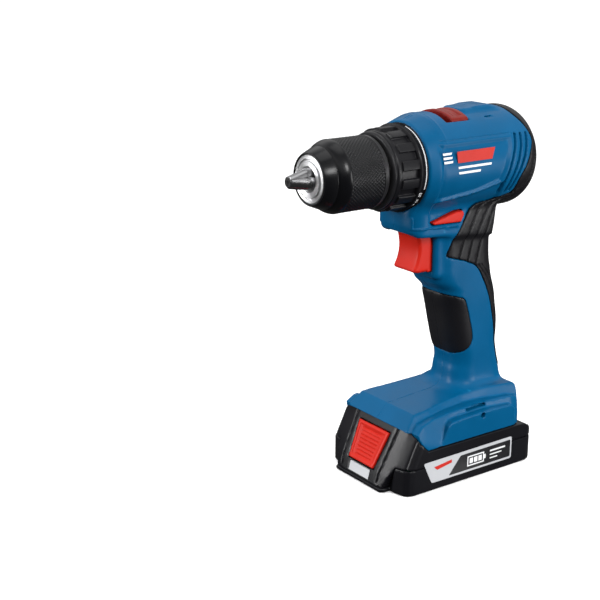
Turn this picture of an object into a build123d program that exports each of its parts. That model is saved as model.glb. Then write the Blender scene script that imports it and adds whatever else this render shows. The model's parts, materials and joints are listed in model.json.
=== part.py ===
from build123d import *
import os
from math import acos, cos, pi, radians, sin, tan

os.makedirs("parts", exist_ok=True)

# ---------------------------------------------------------------- driving dimensions, mm
# Frame: origin at the centre of the battery's flat base, +Z up, chuck towards -Y,
# +X is the user's left when the drill is held.

COLLAR_R = 25.4
SPINDLE_Z = 195.0                 # height of the spindle axis over the base
SPIN_AXIS = Axis((0, 0, SPINDLE_Z), (0, 1, 0))

# plastic body
BARREL_R = 31.0
BARREL_FRONT = -28.0
BARREL_REAR = 61.5
BARREL_NOSE_R = 27.6
REAR_ROUND = 13.0
BLOCK_HALF = 18.5                 # half width of the block over the trigger
GRIP_SKIN = 1.5                   # thickness of the moulded rubber
WALL = 3.0                        # plastic wall under the rubber
HANDLE_SECTIONS = (               # height, centre y, half width, half depth
    (48, 31.0, 19.0, 20.0),
    (60, 30.4, 17.0, 19.6),
    (72, 29.4, 17.0, 18.8),
    (86, 27.0, 17.0, 20.0),
    (100, 24.4, 17.0, 20.8),
    (112, 22.2, 17.0, 21.4),
    (122, 19.0, 17.0, 21.8),
    (134, 14.8, 17.0, 23.4),
    (146, 13.8, 17.0, 23.8),
    (160, 16.0, 18.0, 26.0),
    (176, 16.0, 18.0, 30.0),
)
HANDLE_CORNER = 13.0
FOOT_SECTIONS = (                 # height, centre y, half width, half length
    (27.2, 8.0, 37.5, 40.0),
    (39.0, 4.0, 36.5, 44.0),
    (47.0, 8.0, 26.0, 40.5),
)

# battery
BATTERY_HALF = 38.0
BATTERY_LONG = 54.0               # reach of the pack ahead of the datum
BATTERY_REAR = 57.5
BATTERY_SPLIT = 17.0
DECK_TOP = 27.0
INNER_DECK_TOP = 31.0
INNER_DECK_HALF = 33.8
RAIL_HALF = 26.0
NECK_HALF = 22.0
RAIL_TOP = 37.6
CELL_R = 9.2
CELL_LENGTH = 65.0
CELL_PITCH = 19.0

# gears: two equal planetary stages, 1:6 each
MODULE = 0.75
PRESSURE = radians(25)
SUN_TEETH = 9
PLANET_TEETH = 18
RING_TEETH = 45
ORBIT_R = MODULE * (SUN_TEETH + PLANET_TEETH) / 2
PLANET_ANGLES = (90.0, 210.0, 330.0)
BACKLASH = 0.05
ADDENDUM = 0.8 * MODULE
DEDENDUM = 1.0 * MODULE
PIN_R = 2.0
RUNNING = 0.05                    # radial clearance of a running fit
GEAR_CASE_R = 22.8
GEAR_CASE_BORE = 20.6

# chuck
JAW_TIP_Y = -108.2
JAW_TILT = 15.0
JAW_R = 4.5
JAW_TIP_R = 3.2
CHUCK_FACE_Y = -93.8
CHUCK_REAR_Y = -52.2
SLEEVE_R = 21.5
SHIFT_TRAVEL = 4.0


def finish(piece, name):
    """Label a finished piece and write it as its own STEP file."""
    piece.part.label = name
    export_step(piece.part, f"parts/{name}.step")


def along_spindle(rear):
    """Plane across the spindle axis at y = rear, drawn in X and Z; extrusion runs forward."""
    return Plane.XZ.offset(-rear)


def profile(*points):
    """Turned profile in side view: (y, radius) points lifted to the spindle axis."""
    return [(y, SPINDLE_Z + radius) for y, radius in points]


def disc(front, rear, radius, mode=Mode.ADD, x=0.0, z=SPINDLE_Z):
    """A cylinder along Y from y = front to y = rear, on the spindle axis unless placed."""
    with Locations((x, (front + rear) / 2, z)):
        Cylinder(radius, rear - front, rotation=(90, 0, 0), mode=mode)


def block(x0, x1, y0, y1, z0, z1, mode=Mode.ADD):
    """A box between two corners."""
    with Locations(((x0 + x1) / 2, (y0 + y1) / 2, (z0 + z1) / 2)):
        Box(x1 - x0, y1 - y0, z1 - z0, mode=mode)


# ---------------------------------------------------------------- plastic body

def body_envelope(inset):
    """Outer form of the plastic body, drawn inset millimetres under its true surface."""
    with BuildPart() as body:
        with BuildSketch(Plane.YZ) as chin:
            Polygon(
                (-32, 182), (-32, 162), (-28.6, 156), (-22, 153), (-8, 152), (34, 150), (38, 182),
                align=None,
            )
            if inset:
                offset(amount=-inset, kind=Kind.INTERSECTION)
        extrude(amount=BLOCK_HALF - inset, both=True)
        fillet(body.edges().filter_by(Axis.Z).sort_by(Axis.Y)[:2], 11 - inset)
        with BuildSketch(Plane.YZ):
            with BuildLine():
                Polyline(*profile(
                    (BARREL_REAR - inset, BARREL_R - REAR_ROUND),
                    (BARREL_REAR - inset, 0),
                    (BARREL_FRONT, 0),
                    (BARREL_FRONT, BARREL_NOSE_R - inset),
                    (BARREL_FRONT + 8, BARREL_R - inset),
                    (BARREL_REAR - REAR_ROUND, BARREL_R - inset),
                ))
                RadiusArc(
                    *profile(
                        (BARREL_REAR - REAR_ROUND, BARREL_R - inset),
                        (BARREL_REAR - inset, BARREL_R - REAR_ROUND),
                    ),
                    REAR_ROUND - inset,
                )
            make_face()
        revolve(axis=SPIN_AXIS)
        for z, centre, half_wide, half_deep in HANDLE_SECTIONS:
            with BuildSketch(Plane.XY.offset(z)):
                with Locations((0, centre)):
                    RectangleRounded(
                        2 * (half_wide - inset),
                        2 * (half_deep - inset),
                        HANDLE_CORNER - inset,
                    )
        loft()
        for z, centre, half_wide, half_long in FOOT_SECTIONS:
            with BuildSketch(Plane.XY.offset(z)):
                with Locations((0, centre)):
                    RectangleRounded(2 * (half_wide - inset), 2 * (half_long - inset), 7 - inset)
        loft(ruled=True)
        with BuildSketch(Plane.YZ):
            Polygon((-33, 40), (-33, 46.9), (16, 50.5), (48, 52.0), (48.5, 40), align=None)
        extrude(amount=24 - inset, both=True)
    return body.part


envelope = body_envelope(0)
core = body_envelope(GRIP_SKIN)

with BuildPart() as rear_grip:
    add(envelope)
    add(core, mode=Mode.SUBTRACT)
    with BuildSketch(Plane.YZ):
        Polygon(
            (-2.4, 140.5), (1.7, 151.7), (12, 168.6), (17, 172), (24, 173.5), (34, 173.2),
            (42.5, 178.5), (48.5, 188), (51.2, 199), (51, 207), (49.5, 211.8), (42, 213.6),
            (41.3, 217), (41.6, 232), (75, 236), (75, 60), (46, 66), (42, 75), (38, 90),
            (33, 106), (27, 121), (21, 131), (11.5, 135.2), (-1.4, 139),
            align=None,
        )
    extrude(amount=40, both=True, mode=Mode.INTERSECT)

with BuildPart() as front_grip:
    add(envelope)
    add(core, mode=Mode.SUBTRACT)
    with BuildSketch(Plane.YZ):
        Polygon(
            (-19, 125), (-10, 118), (0, 114), (12, 111), (14, 107), (18, 95), (20, 85),
            (18.6, 79), (14.5, 74.5), (8, 71.6), (0, 70), (-12, 69), (-19, 72),
            align=None,
        )
    extrude(amount=40, both=True, mode=Mode.INTERSECT)

# Every housing screw runs along X from the right half into the left one: (y, z).
SCREW_SPOTS = ((-23.6, 160.4), (52, 217), (52, 172.5), (35.6, 124), (12.4, 86), (-28, 42.5), (45, 48.2))
BOSS_R = 3.2
SCREW_R = 1.25
SCREW_HEAD_R = 2.6
SCREW_HEAD_X = -9.0
BAYS = ((-23.5, -5), (-0.5, 12), (14, 28), (30, 44), (48, 56.6))

with BuildPart() as bosses:
    with BuildSketch(Plane.YZ):
        with Locations(*SCREW_SPOTS):
            Circle(BOSS_R)
    extrude(amount=40, both=True)
    add(core, mode=Mode.INTERSECT)

with BuildPart() as shell:
    add(envelope)
    add(rear_grip.part, mode=Mode.SUBTRACT)
    add(front_grip.part, mode=Mode.SUBTRACT)
    # the chin's top is hollowed to let the torque collar turn
    disc(-60, BARREL_FRONT, COLLAR_R + 0.5, mode=Mode.SUBTRACT)
    # gearbox and motor seats, with bays between the ribs that hold them
    disc(BARREL_FRONT, -25.2, 26.4, mode=Mode.SUBTRACT)
    disc(-25.3, -2, GEAR_CASE_R + 0.1, mode=Mode.SUBTRACT)
    disc(-2, 52.2, 18.7, mode=Mode.SUBTRACT)
    for bay_front, bay_rear in BAYS:
        disc(bay_front, bay_rear, 26.5 if bay_rear < 50 else 24.0, mode=Mode.SUBTRACT)
    # speed selector pocket in the top
    block(-16, 16, -6.6, 11.6, 217, 232, mode=Mode.SUBTRACT)
    block(-3.5, 3.5, -14.5, 0, 217.9, 220.4, mode=Mode.SUBTRACT)
    # hollow handle
    for z, centre, half_wide, half_deep in HANDLE_SECTIONS[:-1]:
        with BuildSketch(Plane.XY.offset(min(z, 158) - 3)):
            with Locations((0, centre)):
                RectangleRounded(
                    2 * (half_wide - GRIP_SKIN - WALL),
                    2 * (half_deep - GRIP_SKIN - WALL),
                    HANDLE_CORNER - GRIP_SKIN - WALL,
                )
    loft(mode=Mode.SUBTRACT)
    # wire duct from the switch up to the motor
    block(-9, 9, 24, 32, 150, 172, mode=Mode.SUBTRACT)
    block(-9, 9, 24, 51, 169, 178, mode=Mode.SUBTRACT)
    # trigger mouth and reversing slide slot
    block(-11, 11, -45, -2.2, 129.6, 156.2, mode=Mode.SUBTRACT)
    block(-30, 30, -18, 7, 160.9, 168.1, mode=Mode.SUBTRACT)
    # battery bay: wide deck, neck between the rails, rail slot, open front
    block(-34.2, 34.2, -60, 45.6, 20, INNER_DECK_TOP + 0.3, mode=Mode.SUBTRACT)
    block(-NECK_HALF - 0.4, NECK_HALF + 0.4, -60, 45.6, 30, 38, mode=Mode.SUBTRACT)
    block(-RAIL_HALF - 0.4, RAIL_HALF + 0.4, -60, 45.6, 33.7, RAIL_TOP + 0.5, mode=Mode.SUBTRACT)
    with BuildSketch(Plane.YZ):
        Polygon(
            (-60, 20),
            (-31.7, 20),
            (-31.7, 27.6),
            (-36.2, 32),
            (-38, RAIL_TOP),
            (-60, RAIL_TOP),
            align=None,
        )
    extrude(amount=60, both=True, mode=Mode.SUBTRACT)
    block(-18.3, 18.3, 20, 45.6, 33, 46, mode=Mode.SUBTRACT)
    block(-7, 7, 38.6, 42.6, 44, 58, mode=Mode.SUBTRACT)
    block(-21, 21, -22, 16, 40.5, 44, mode=Mode.SUBTRACT)
    add(bosses.part)
    disc(-25.3, -2, GEAR_CASE_R + 0.1, mode=Mode.SUBTRACT)
    with BuildSketch(Plane.YZ):
        with Locations(*SCREW_SPOTS):
            Circle(SCREW_R)
    extrude(amount=10, both=True, mode=Mode.SUBTRACT)
    # strap slot and screw pocket in the side of the foot
    block(35.2, 40, 4, 20, 43.6, 46, mode=Mode.SUBTRACT)

with BuildPart() as left_housing:
    add(shell.part)
    split(bisect_by=Plane.YZ, keep=Keep.TOP)
    with BuildSketch(Plane.YZ.offset(33)):
        with Locations((13.5, 39.7)):
            Circle(1.8)
    extrude(amount=8, mode=Mode.SUBTRACT)
finish(left_housing, "left_housing")

with BuildPart() as right_housing:
    add(shell.part)
    split(bisect_by=Plane.YZ, keep=Keep.BOTTOM)
    with BuildSketch(Plane.YZ.offset(SCREW_HEAD_X)):
        with Locations(*SCREW_SPOTS):
            Circle(SCREW_HEAD_R)
    extrude(amount=-40, mode=Mode.SUBTRACT)
finish(right_housing, "right_housing")

with BuildPart() as housing_screws:
    with BuildSketch(Plane.YZ.offset(SCREW_HEAD_X)):
        with Locations(*SCREW_SPOTS):
            Circle(SCREW_R)
    extrude(amount=18)
    with BuildSketch(Plane.YZ.offset(SCREW_HEAD_X)):
        with Locations(*SCREW_SPOTS):
            Circle(SCREW_HEAD_R - 0.1)
            RegularPolygon(1.3, 6, mode=Mode.SUBTRACT)
    extrude(amount=-2.2)
    with BuildSketch(Plane.YZ.offset(SCREW_HEAD_X)):
        with Locations(*SCREW_SPOTS):
            Circle(SCREW_HEAD_R - 0.2)
    extrude(amount=-0.8)
finish(housing_screws, "housing_screws")

for side, half in (("left", Keep.TOP), ("right", Keep.BOTTOM)):
    for grip, place in ((rear_grip, "rear"), (front_grip, "front")):
        with BuildPart() as grip_half:
            add(grip.part)
            split(bisect_by=Plane.YZ, keep=half)
            # the right half is left open over the screw heads
            with BuildSketch(Plane.YZ.offset(SCREW_HEAD_X)):
                with Locations(*SCREW_SPOTS):
                    Circle(SCREW_HEAD_R)
            extrude(amount=-40, mode=Mode.SUBTRACT)
        finish(grip_half, f"{side}_{place}_grip")

# ---------------------------------------------------------------- gearbox

def gear_outline(teeth, shift, tip, root, turn, centre=(0.0, 0.0)):
    """Corners of an involute gear about centre in the spindle plane's X and Z.

    turn is the angle of the first tooth in degrees; shift moves each flank out of the tooth,
    so it is negative for a gear with backlash and positive for the hollow of a ring gear.
    """
    pitch_r = MODULE * teeth / 2
    base_r = pitch_r * cos(PRESSURE)
    half = pi / (2 * teeth) + shift / pitch_r + tan(PRESSURE) - PRESSURE
    low = max(base_r, pitch_r - root) + 0.01
    flank = [low + (pitch_r + tip - low) * step / 3 for step in range(4)]
    corners = []
    for tooth in range(teeth):
        middle = radians(turn) + 2 * pi * tooth / teeth
        rising = []
        for radius in flank:
            roll = acos(base_r / radius)
            rising.append((radius, half - tan(roll) + roll))
        rising.insert(0, (pitch_r - root, half))
        for radius, angle in rising:
            corners.append((radius, middle - angle))
        for radius, angle in reversed(rising):
            corners.append((radius, middle + angle))
    return [
        (centre[0] + radius * cos(angle), centre[1] + SPINDLE_Z + radius * sin(angle))
        for radius, angle in corners
    ]


def planet_turn(orbit):
    """First-tooth angle of a planet at that orbit angle, in mesh with a sun whose tooth is at 0."""
    return orbit + 180 + orbit * SUN_TEETH / PLANET_TEETH + 180 / PLANET_TEETH


def on_orbit(angle):
    """Centre of a planet: X, and Z over the spindle axis."""
    return ORBIT_R * cos(radians(angle)), ORBIT_R * sin(radians(angle))


FIRST_ORBIT = PLANET_ANGLES[0]
RING_TURN = FIRST_ORBIT + (PLANET_TEETH / 2 + 0.5 + FIRST_ORBIT * SUN_TEETH / 360) * 360 / RING_TEETH
SUN_OUTLINE = gear_outline(SUN_TEETH, -BACKLASH, ADDENDUM, DEDENDUM, 0)
RING_HOLLOW = gear_outline(RING_TEETH, BACKLASH, DEDENDUM, ADDENDUM, RING_TURN)

# Places along the spindle, front and rear of each piece.
CLUTCH_RING = (-23.5, -16.9)
SECOND_PLANETS = (-23.3, -17.0)
OUTPUT_PLATE = (-26.7, -23.6)
FIRST_PLATE = (-16.5, -12.9)
FIRST_PLANETS = (-12.6, -5.9)
SHIFT_RING = (-12.4, -5.6)
SHIFT_WIRE_Y = -9.0
CASE_REAR = (-4.6, -2.0)

with BuildPart() as gear_case:
    disc(-25.0, CASE_REAR[1], GEAR_CASE_R)
    disc(-25.0, CASE_REAR[0], GEAR_CASE_BORE, mode=Mode.SUBTRACT)
    disc(-8, 0, 5.2, mode=Mode.SUBTRACT)
    # slots for the ends of the shift wire
    block(-30, 30, SHIFT_WIRE_Y - SHIFT_TRAVEL - 1.2, SHIFT_WIRE_Y + 1.2, SPINDLE_Z - 1.2,
          SPINDLE_Z + 1.2, mode=Mode.SUBTRACT)
finish(gear_case, "gear_case")

with BuildPart() as nose_case:
    disc(-50.0, -25.5, 15.0)
    disc(-28.0, -25.3, 26.2)
    disc(-28.0, -24.9, 22.9, mode=Mode.SUBTRACT)
    disc(-28.0, -26.9, 23.2)
    disc(-51.0, -42.0, 11.0, mode=Mode.SUBTRACT)
    disc(-42.1, -26.9, 8.2, mode=Mode.SUBTRACT)
    # holes for the clutch balls and grooves that keep the clutch nut from turning
    with BuildSketch(along_spindle(-26)):
        with Locations((0, SPINDLE_Z)):
            with PolarLocations(18.6, 6):
                Circle(2.1)
    extrude(amount=4, mode=Mode.SUBTRACT)
    for side in (-1, 1):
        block(side * 15 - 1.2, side * 15 + 1.2, -50.1, -29, SPINDLE_Z - 2, SPINDLE_Z + 2,
              mode=Mode.SUBTRACT)
    disc(-26.9, -24.0, 14.4, mode=Mode.SUBTRACT)
finish(nose_case, "nose_case")

with BuildPart() as clutch_ring_gear:
    with BuildSketch(along_spindle(CLUTCH_RING[1])):
        with Locations((0, SPINDLE_Z)):
            Circle(GEAR_CASE_BORE)
        Polygon(*RING_HOLLOW, align=None, mode=Mode.SUBTRACT)
    extrude(amount=CLUTCH_RING[1] - CLUTCH_RING[0])
finish(clutch_ring_gear, "clutch_ring_gear")

with BuildPart() as shift_ring:
    with BuildSketch(along_spindle(SHIFT_RING[1])):
        with Locations((0, SPINDLE_Z)):
            Circle(GEAR_CASE_BORE - 0.3)
        Polygon(*RING_HOLLOW, align=None, mode=Mode.SUBTRACT)
    extrude(amount=SHIFT_RING[1] - SHIFT_RING[0])
    with BuildSketch(along_spindle(SHIFT_WIRE_Y + 0.9)):
        with Locations((0, SPINDLE_Z)):
            Circle(GEAR_CASE_BORE)
            Circle(GEAR_CASE_BORE - 1.5, mode=Mode.SUBTRACT)
    extrude(amount=1.8, mode=Mode.SUBTRACT)
finish(shift_ring, "shift_ring")

with BuildPart() as shift_wire:
    with BuildSketch(Plane(origin=(24.1, SHIFT_WIRE_Y, SPINDLE_Z), z_dir=(0, 0, 1))):
        Circle(0.8)
    revolve(axis=SPIN_AXIS, revolution_arc=-180)
    for side in (-1, 1):
        with Locations((side * 22.0, SHIFT_WIRE_Y, SPINDLE_Z)):
            Cylinder(0.8, 4.8, rotation=(0, 90, 0))
    block(-3, 3, SHIFT_WIRE_Y - 0.8, -2.0, SPINDLE_Z + 23.4, SPINDLE_Z + 24.8)
finish(shift_wire, "shift_wire")

for stage, (front, rear) in (("first", FIRST_PLANETS), ("second", SECOND_PLANETS)):
    for number, angle in enumerate(PLANET_ANGLES, start=1):
        centre = on_orbit(angle)
        with BuildPart() as planet:
            with BuildSketch(along_spindle(rear)):
                Polygon(
                    *gear_outline(
                        PLANET_TEETH, -BACKLASH, ADDENDUM, DEDENDUM, planet_turn(angle), centre
                    ),
                    align=None,
                )
                with Locations((centre[0], SPINDLE_Z + centre[1])):
                    Circle(PIN_R + RUNNING, mode=Mode.SUBTRACT)
            extrude(amount=rear - front)
        finish(planet, f"{stage}_planet_{number}")


def planet_pins(front, rear):
    """Three pins for the planets of one carrier."""
    for angle in PLANET_ANGLES:
        x, rise = on_orbit(angle)
        disc(front, rear, PIN_R, x=x, z=SPINDLE_Z + rise)


with BuildPart() as first_carrier:
    disc(*FIRST_PLATE, 14.0)
    planet_pins(FIRST_PLATE[1], FIRST_PLANETS[1])
    with BuildSketch(along_spindle(FIRST_PLATE[0])):
        Polygon(*SUN_OUTLINE, align=None)
    extrude(amount=FIRST_PLATE[0] - SECOND_PLANETS[0] - 0.1)
finish(first_carrier, "first_carrier")

SPINDLE_REAR = -24.2
SPINDLE_END_R = 5.0

with BuildPart() as output_carrier:
    disc(*OUTPUT_PLATE, 14.0)
    planet_pins(OUTPUT_PLATE[1], SECOND_PLANETS[1])
    disc(-27, SPINDLE_REAR, SPINDLE_END_R, mode=Mode.SUBTRACT)
finish(output_carrier, "output_carrier")

SPINDLE_R = 5.98
THREAD_R = 6.3
with BuildPart() as spindle:
    with BuildSketch(Plane.YZ):
        Polygon(
            *profile(
                (-68, 0), (-68, 4.2), (-61.2, 6.0), (-61.2, THREAD_R), (-52.2, THREAD_R), (-52.2, 8.2), (-49.4, 8.2),
                (-49.4, SPINDLE_R), (-41, SPINDLE_R), (-41, 7.2), (-31, 7.2), (-31, SPINDLE_END_R),
                (SPINDLE_REAR, SPINDLE_END_R), (SPINDLE_REAR, 0),
            ),
            align=None,
        )
    revolve(axis=SPIN_AXIS)
    disc(-68, -48, 2.1, mode=Mode.SUBTRACT)
finish(spindle, "spindle")

with BuildPart() as spindle_bearing:
    disc(-49.2, -42.2, 11.0)
    disc(-50, -42, 9.6, mode=Mode.SUBTRACT)
    disc(-49.2, -42.2, 7.4)
    disc(-50, -42, SPINDLE_R + 0.03, mode=Mode.SUBTRACT)
    with BuildSketch(Plane.YZ):
        with Locations((-45.7, SPINDLE_Z + 8.5)):
            Rectangle(1.2, 2.3)
    revolve(axis=SPIN_AXIS)
finish(spindle_bearing, "spindle_bearing")

with BuildPart() as clutch_balls:
    for number in range(6):
        angle = radians(60 * number)
        place = (18.6 * cos(angle), -25.5, SPINDLE_Z + 18.6 * sin(angle))
        with Locations(place):
            Sphere(2.0)
finish(clutch_balls, "clutch_balls")

# ---------------------------------------------------------------- motor

SHAFT_R = 1.6
CAN_R = 18.5
CAN_BORE = 17.3
CAN_REAR = 47.0

with BuildPart() as motor_shaft:
    disc(-12.4, 51.5, SHAFT_R)
finish(motor_shaft, "motor_shaft")

with BuildPart() as motor_pinion:
    with BuildSketch(along_spindle(-5.0)):
        Polygon(*SUN_OUTLINE, align=None)
        with Locations((0, SPINDLE_Z)):
            Circle(SHAFT_R, mode=Mode.SUBTRACT)
    extrude(amount=7.4)
finish(motor_pinion, "motor_pinion")

with BuildPart() as motor_can:
    disc(-2.0, CAN_REAR, CAN_R)
    disc(-0.6, CAN_REAR, CAN_BORE, mode=Mode.SUBTRACT)
    disc(-2.0, 0, 5.0, mode=Mode.SUBTRACT)
    with BuildSketch(along_spindle(0)):
        with Locations((0, SPINDLE_Z)):
            with PolarLocations(11.5, 6, start_angle=30):
                SlotOverall(5, 2.4)
    extrude(amount=2, mode=Mode.SUBTRACT)
finish(motor_can, "motor_can")

with BuildPart() as motor_magnets:
    with BuildSketch(along_spindle(36)):
        with Locations((0, SPINDLE_Z)):
            Circle(CAN_BORE)
            Circle(13.2, mode=Mode.SUBTRACT)
            Rectangle(11, 40, mode=Mode.SUBTRACT)
    extrude(amount=30)
finish(motor_magnets, "motor_magnets")

with BuildPart() as armature_core:
    with BuildSketch(along_spindle(34)):
        with Locations((0, SPINDLE_Z)):
            Circle(12.6)
            Circle(SHAFT_R, mode=Mode.SUBTRACT)
            with PolarLocations(8.8, 5):
                Circle(2.4, mode=Mode.SUBTRACT)
            with PolarLocations(12, 5):
                Rectangle(5, 1.6, mode=Mode.SUBTRACT)
    extrude(amount=26)
finish(armature_core, "armature_core")

# copper: the coils in the slots, their two end turns, and the commutator behind them
with BuildPart() as armature_windings:
    with BuildSketch(along_spindle(38)):
        with Locations((0, SPINDLE_Z)):
            with PolarLocations(8.8, 5):
                Circle(2.3)
    extrude(amount=34)
    for front, rear in ((4, 7.9), (34.1, 38)):
        disc(front, rear, 11.4)
    disc(38, 45.5, 4.6)
    disc(3, 46, SHAFT_R, mode=Mode.SUBTRACT)
    with BuildSketch(along_spindle(45.5)):
        with Locations((0, SPINDLE_Z)):
            with PolarLocations(4.6, 10):
                Rectangle(1.2, 0.4)
    extrude(amount=6.5, mode=Mode.SUBTRACT)
finish(armature_windings, "armature_windings")

with BuildPart() as motor_end_cap:
    disc(CAN_REAR, 50.5, CAN_R)
    disc(CAN_REAR - 3, CAN_REAR, CAN_BORE)
    disc(CAN_REAR - 3, CAN_REAR + 1, 13.0, mode=Mode.SUBTRACT)
    disc(CAN_REAR, 52, 5.0, mode=Mode.SUBTRACT)
    with BuildSketch(along_spindle(51)):
        with Locations((0, SPINDLE_Z)):
            with PolarLocations(12.5, 4, start_angle=45):
                SlotOverall(6, 3)
    extrude(amount=5, mode=Mode.SUBTRACT)
finish(motor_end_cap, "motor_end_cap")

with BuildPart() as carbon_brushes:
    for side in (-1, 1):
        block(side * 8.6 - 3.9, side * 8.6 + 3.9, 40.5, 44.5, SPINDLE_Z - 2, SPINDLE_Z + 2)
finish(carbon_brushes, "carbon_brushes")

with BuildPart() as motor_bushes:
    for front, rear in ((-2.0, 1.5), (CAN_REAR, 50.5)):
        with BuildSketch(along_spindle(rear)):
            with Locations((0, SPINDLE_Z)):
                Circle(5.0)
                Circle(SHAFT_R + 0.03, mode=Mode.SUBTRACT)
        extrude(amount=rear - front)
finish(motor_bushes, "motor_bushes")

# ---------------------------------------------------------------- torque clutch

COLLAR_FRONT = -50.5
COLLAR_REAR = -28.3
COLLAR_BORE = 20.4

with BuildPart() as torque_collar:
    with BuildSketch(Plane.YZ):
        Polygon(
            *profile(
                (COLLAR_FRONT, 16.0), (COLLAR_FRONT, 22.2), (COLLAR_FRONT + 1.4, 23.4), (-36, 23.8),
                (-34.6, COLLAR_R - 0.2), (COLLAR_REAR, COLLAR_R), (COLLAR_REAR, COLLAR_BORE),
                (-48, COLLAR_BORE),
                (-48, 16.0),
            ),
            align=None,
        )
    revolve(axis=SPIN_AXIS)
    # finger lugs
    with BuildSketch(along_spindle(-35)):
        with Locations((0, SPINDLE_Z)):
            with PolarLocations(23.7, 12):
                Rectangle(2.4, 6.4)
    extrude(amount=13.6)
    disc(-49, COLLAR_REAR + 1, COLLAR_BORE, mode=Mode.SUBTRACT)
finish(torque_collar, "torque_collar")

NUT = (-43.0, -39.4)
with BuildPart() as clutch_nut:
    with BuildSketch(along_spindle(NUT[1])):
        with Locations((0, SPINDLE_Z)):
            Circle(COLLAR_BORE - 0.3)
            Circle(15.3, mode=Mode.SUBTRACT)
            for side in (-1, 1):
                with Locations((side * 15.4, 0)):
                    Rectangle(2.4, 3.2)
    extrude(amount=NUT[1] - NUT[0])
    disc(NUT[0], NUT[1], 13.9, mode=Mode.SUBTRACT)
finish(clutch_nut, "clutch_nut")

SPRING_WIRE_R = 1.0
with BuildPart() as clutch_spring:
    with BuildLine() as spring_path:
        Helix(2.9, 8.0, 17.4, center=(0, -38.3, SPINDLE_Z), direction=(0, 1, 0))
    with BuildSketch(Plane(origin=spring_path.line @ 0, z_dir=spring_path.line % 0)):
        Circle(SPRING_WIRE_R)
    sweep(path=spring_path.line)
finish(clutch_spring, "clutch_spring")

# ---------------------------------------------------------------- chuck

def jaw_line(y, off=0.0):
    """Radius of the outermost line of a closed jaw at y, moved outward by off."""
    return JAW_TIP_R + (y - JAW_TIP_Y) * tan(radians(JAW_TILT)) + off


JAW_REAR_Y = -78.0
JAW_TRAVEL = 22.0
NUT_SEAT = (-85.2, -78.9)
BIT_BORE_R = 6.7
FIRST_JAW = 90.0


def jaw_plane(angle):
    """Plane across one jaw's own axis at its rear end; extrusion runs to the jaw's tip."""
    tilt = radians(JAW_TILT)
    reach = jaw_line(JAW_REAR_Y) - JAW_R / cos(tilt)
    out = (cos(radians(angle)), sin(radians(angle)))
    return Plane(
        origin=(reach * out[0], JAW_REAR_Y, SPINDLE_Z + reach * out[1]),
        z_dir=(-sin(tilt) * out[0], -cos(tilt), -sin(tilt) * out[1]),
    )


with BuildPart() as chuck_body:
    with BuildSketch(Plane.YZ):
        Polygon(
            *profile(
                (CHUCK_REAR_Y, THREAD_R + 0.02), (CHUCK_REAR_Y, 18.6), (-55, 18.6), (-55, 16.6),
                (NUT_SEAT[1], 16.6), (NUT_SEAT[1], 9.6), (NUT_SEAT[0], 8.2), (NUT_SEAT[0], 14.1),
                (-93.2, 14.1), (CHUCK_FACE_Y, 13.4), (CHUCK_FACE_Y, 11.8), (-92.8, 11.8),
                (-92.8, 10.4), (-94.4, 10.4), (-94.4, 7.6), (-93.4, BIT_BORE_R), (-70, BIT_BORE_R),
                (-68.5, THREAD_R + 0.02),
            ),
            align=None,
        )
    revolve(axis=SPIN_AXIS)
    for number in range(3):
        with BuildSketch(jaw_plane(FIRST_JAW + 120 * number).offset(-JAW_TRAVEL - 1.5)):
            Circle(JAW_R + RUNNING)
        extrude(amount=70, mode=Mode.SUBTRACT)
finish(chuck_body, "chuck_body")

JAW_GAP = 0.12                    # half the gap between closed jaws
for number in range(3):
    angle = FIRST_JAW + 120 * number
    with BuildPart() as jaw:
        with BuildSketch(jaw_plane(angle)):
            Circle(JAW_R)
        extrude(amount=40)
        # grip faces: keep the wedge that faces this jaw
        for side in (-60, 60):
            across = radians(angle + side + (90 if side > 0 else -90))
            wedge = Plane(
                origin=(
                    JAW_GAP * -cos(across), JAW_TIP_Y, SPINDLE_Z + JAW_GAP * -sin(across),
                ),
                z_dir=(cos(across), 0, sin(across)),
            )
            split(bisect_by=wedge, keep=Keep.BOTTOM)
        # nose: a shared cone, and a flat at the tip
        with BuildSketch(Plane.YZ):
            Polygon(
                *profile(
                    (JAW_TIP_Y, 0.9), (JAW_TIP_Y, JAW_TIP_R - 0.3), (JAW_TIP_Y + 0.5, JAW_TIP_R + 0.1),
                    (-95, 30), (-70, 30), (-70, 0.0), (-100, 0.0),
                ),
                align=None,
            )
        revolve(axis=SPIN_AXIS, mode=Mode.INTERSECT)
    finish(jaw, f"jaw_{number + 1}")

with BuildPart() as chuck_screw:
    disc(-67.8, -56, 2.0)
    disc(-69.8, -68, 3.6)
    disc(-68.1, -67.7, 2.0)
    with BuildSketch(along_spindle(-69)):
        with Locations((0, SPINDLE_Z)):
            RegularPolygon(1.8, 6)
    extrude(amount=2, mode=Mode.SUBTRACT)
finish(chuck_screw, "chuck_screw")

with BuildPart() as chuck_nut:
    with BuildSketch(Plane.YZ):
        Polygon(
            *profile(
                (-85.0, jaw_line(-85.0, 0.2)), (-85.0, 18.0), (-79.1, 19.2), (-79.1, jaw_line(-79.1, 0.2)),
            ),
            align=None,
        )
    revolve(axis=SPIN_AXIS)
finish(chuck_nut, "chuck_nut")

with BuildPart() as chuck_sleeve:
    with BuildSketch(Plane.YZ):
        Polygon(
            *profile(
                (-94.0, 14.25), (-94.0, 14.8), (-93.4, 15.2), (-86.5, 18.1), (-86.1, 17.9), (-85.7, 18.3),
                (-82.5, 20.5), (-80.5, 21.3), (-79.1, SLEEVE_R), (-54.9, SLEEVE_R), (-54.9, 19.4),
                (-79.1, 19.4), (-79.1, 19.2), (-85.0, 18.0), (-85.2, 14.25),
            ),
            align=None,
        )
    revolve(axis=SPIN_AXIS)
finish(chuck_sleeve, "chuck_sleeve")

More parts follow.
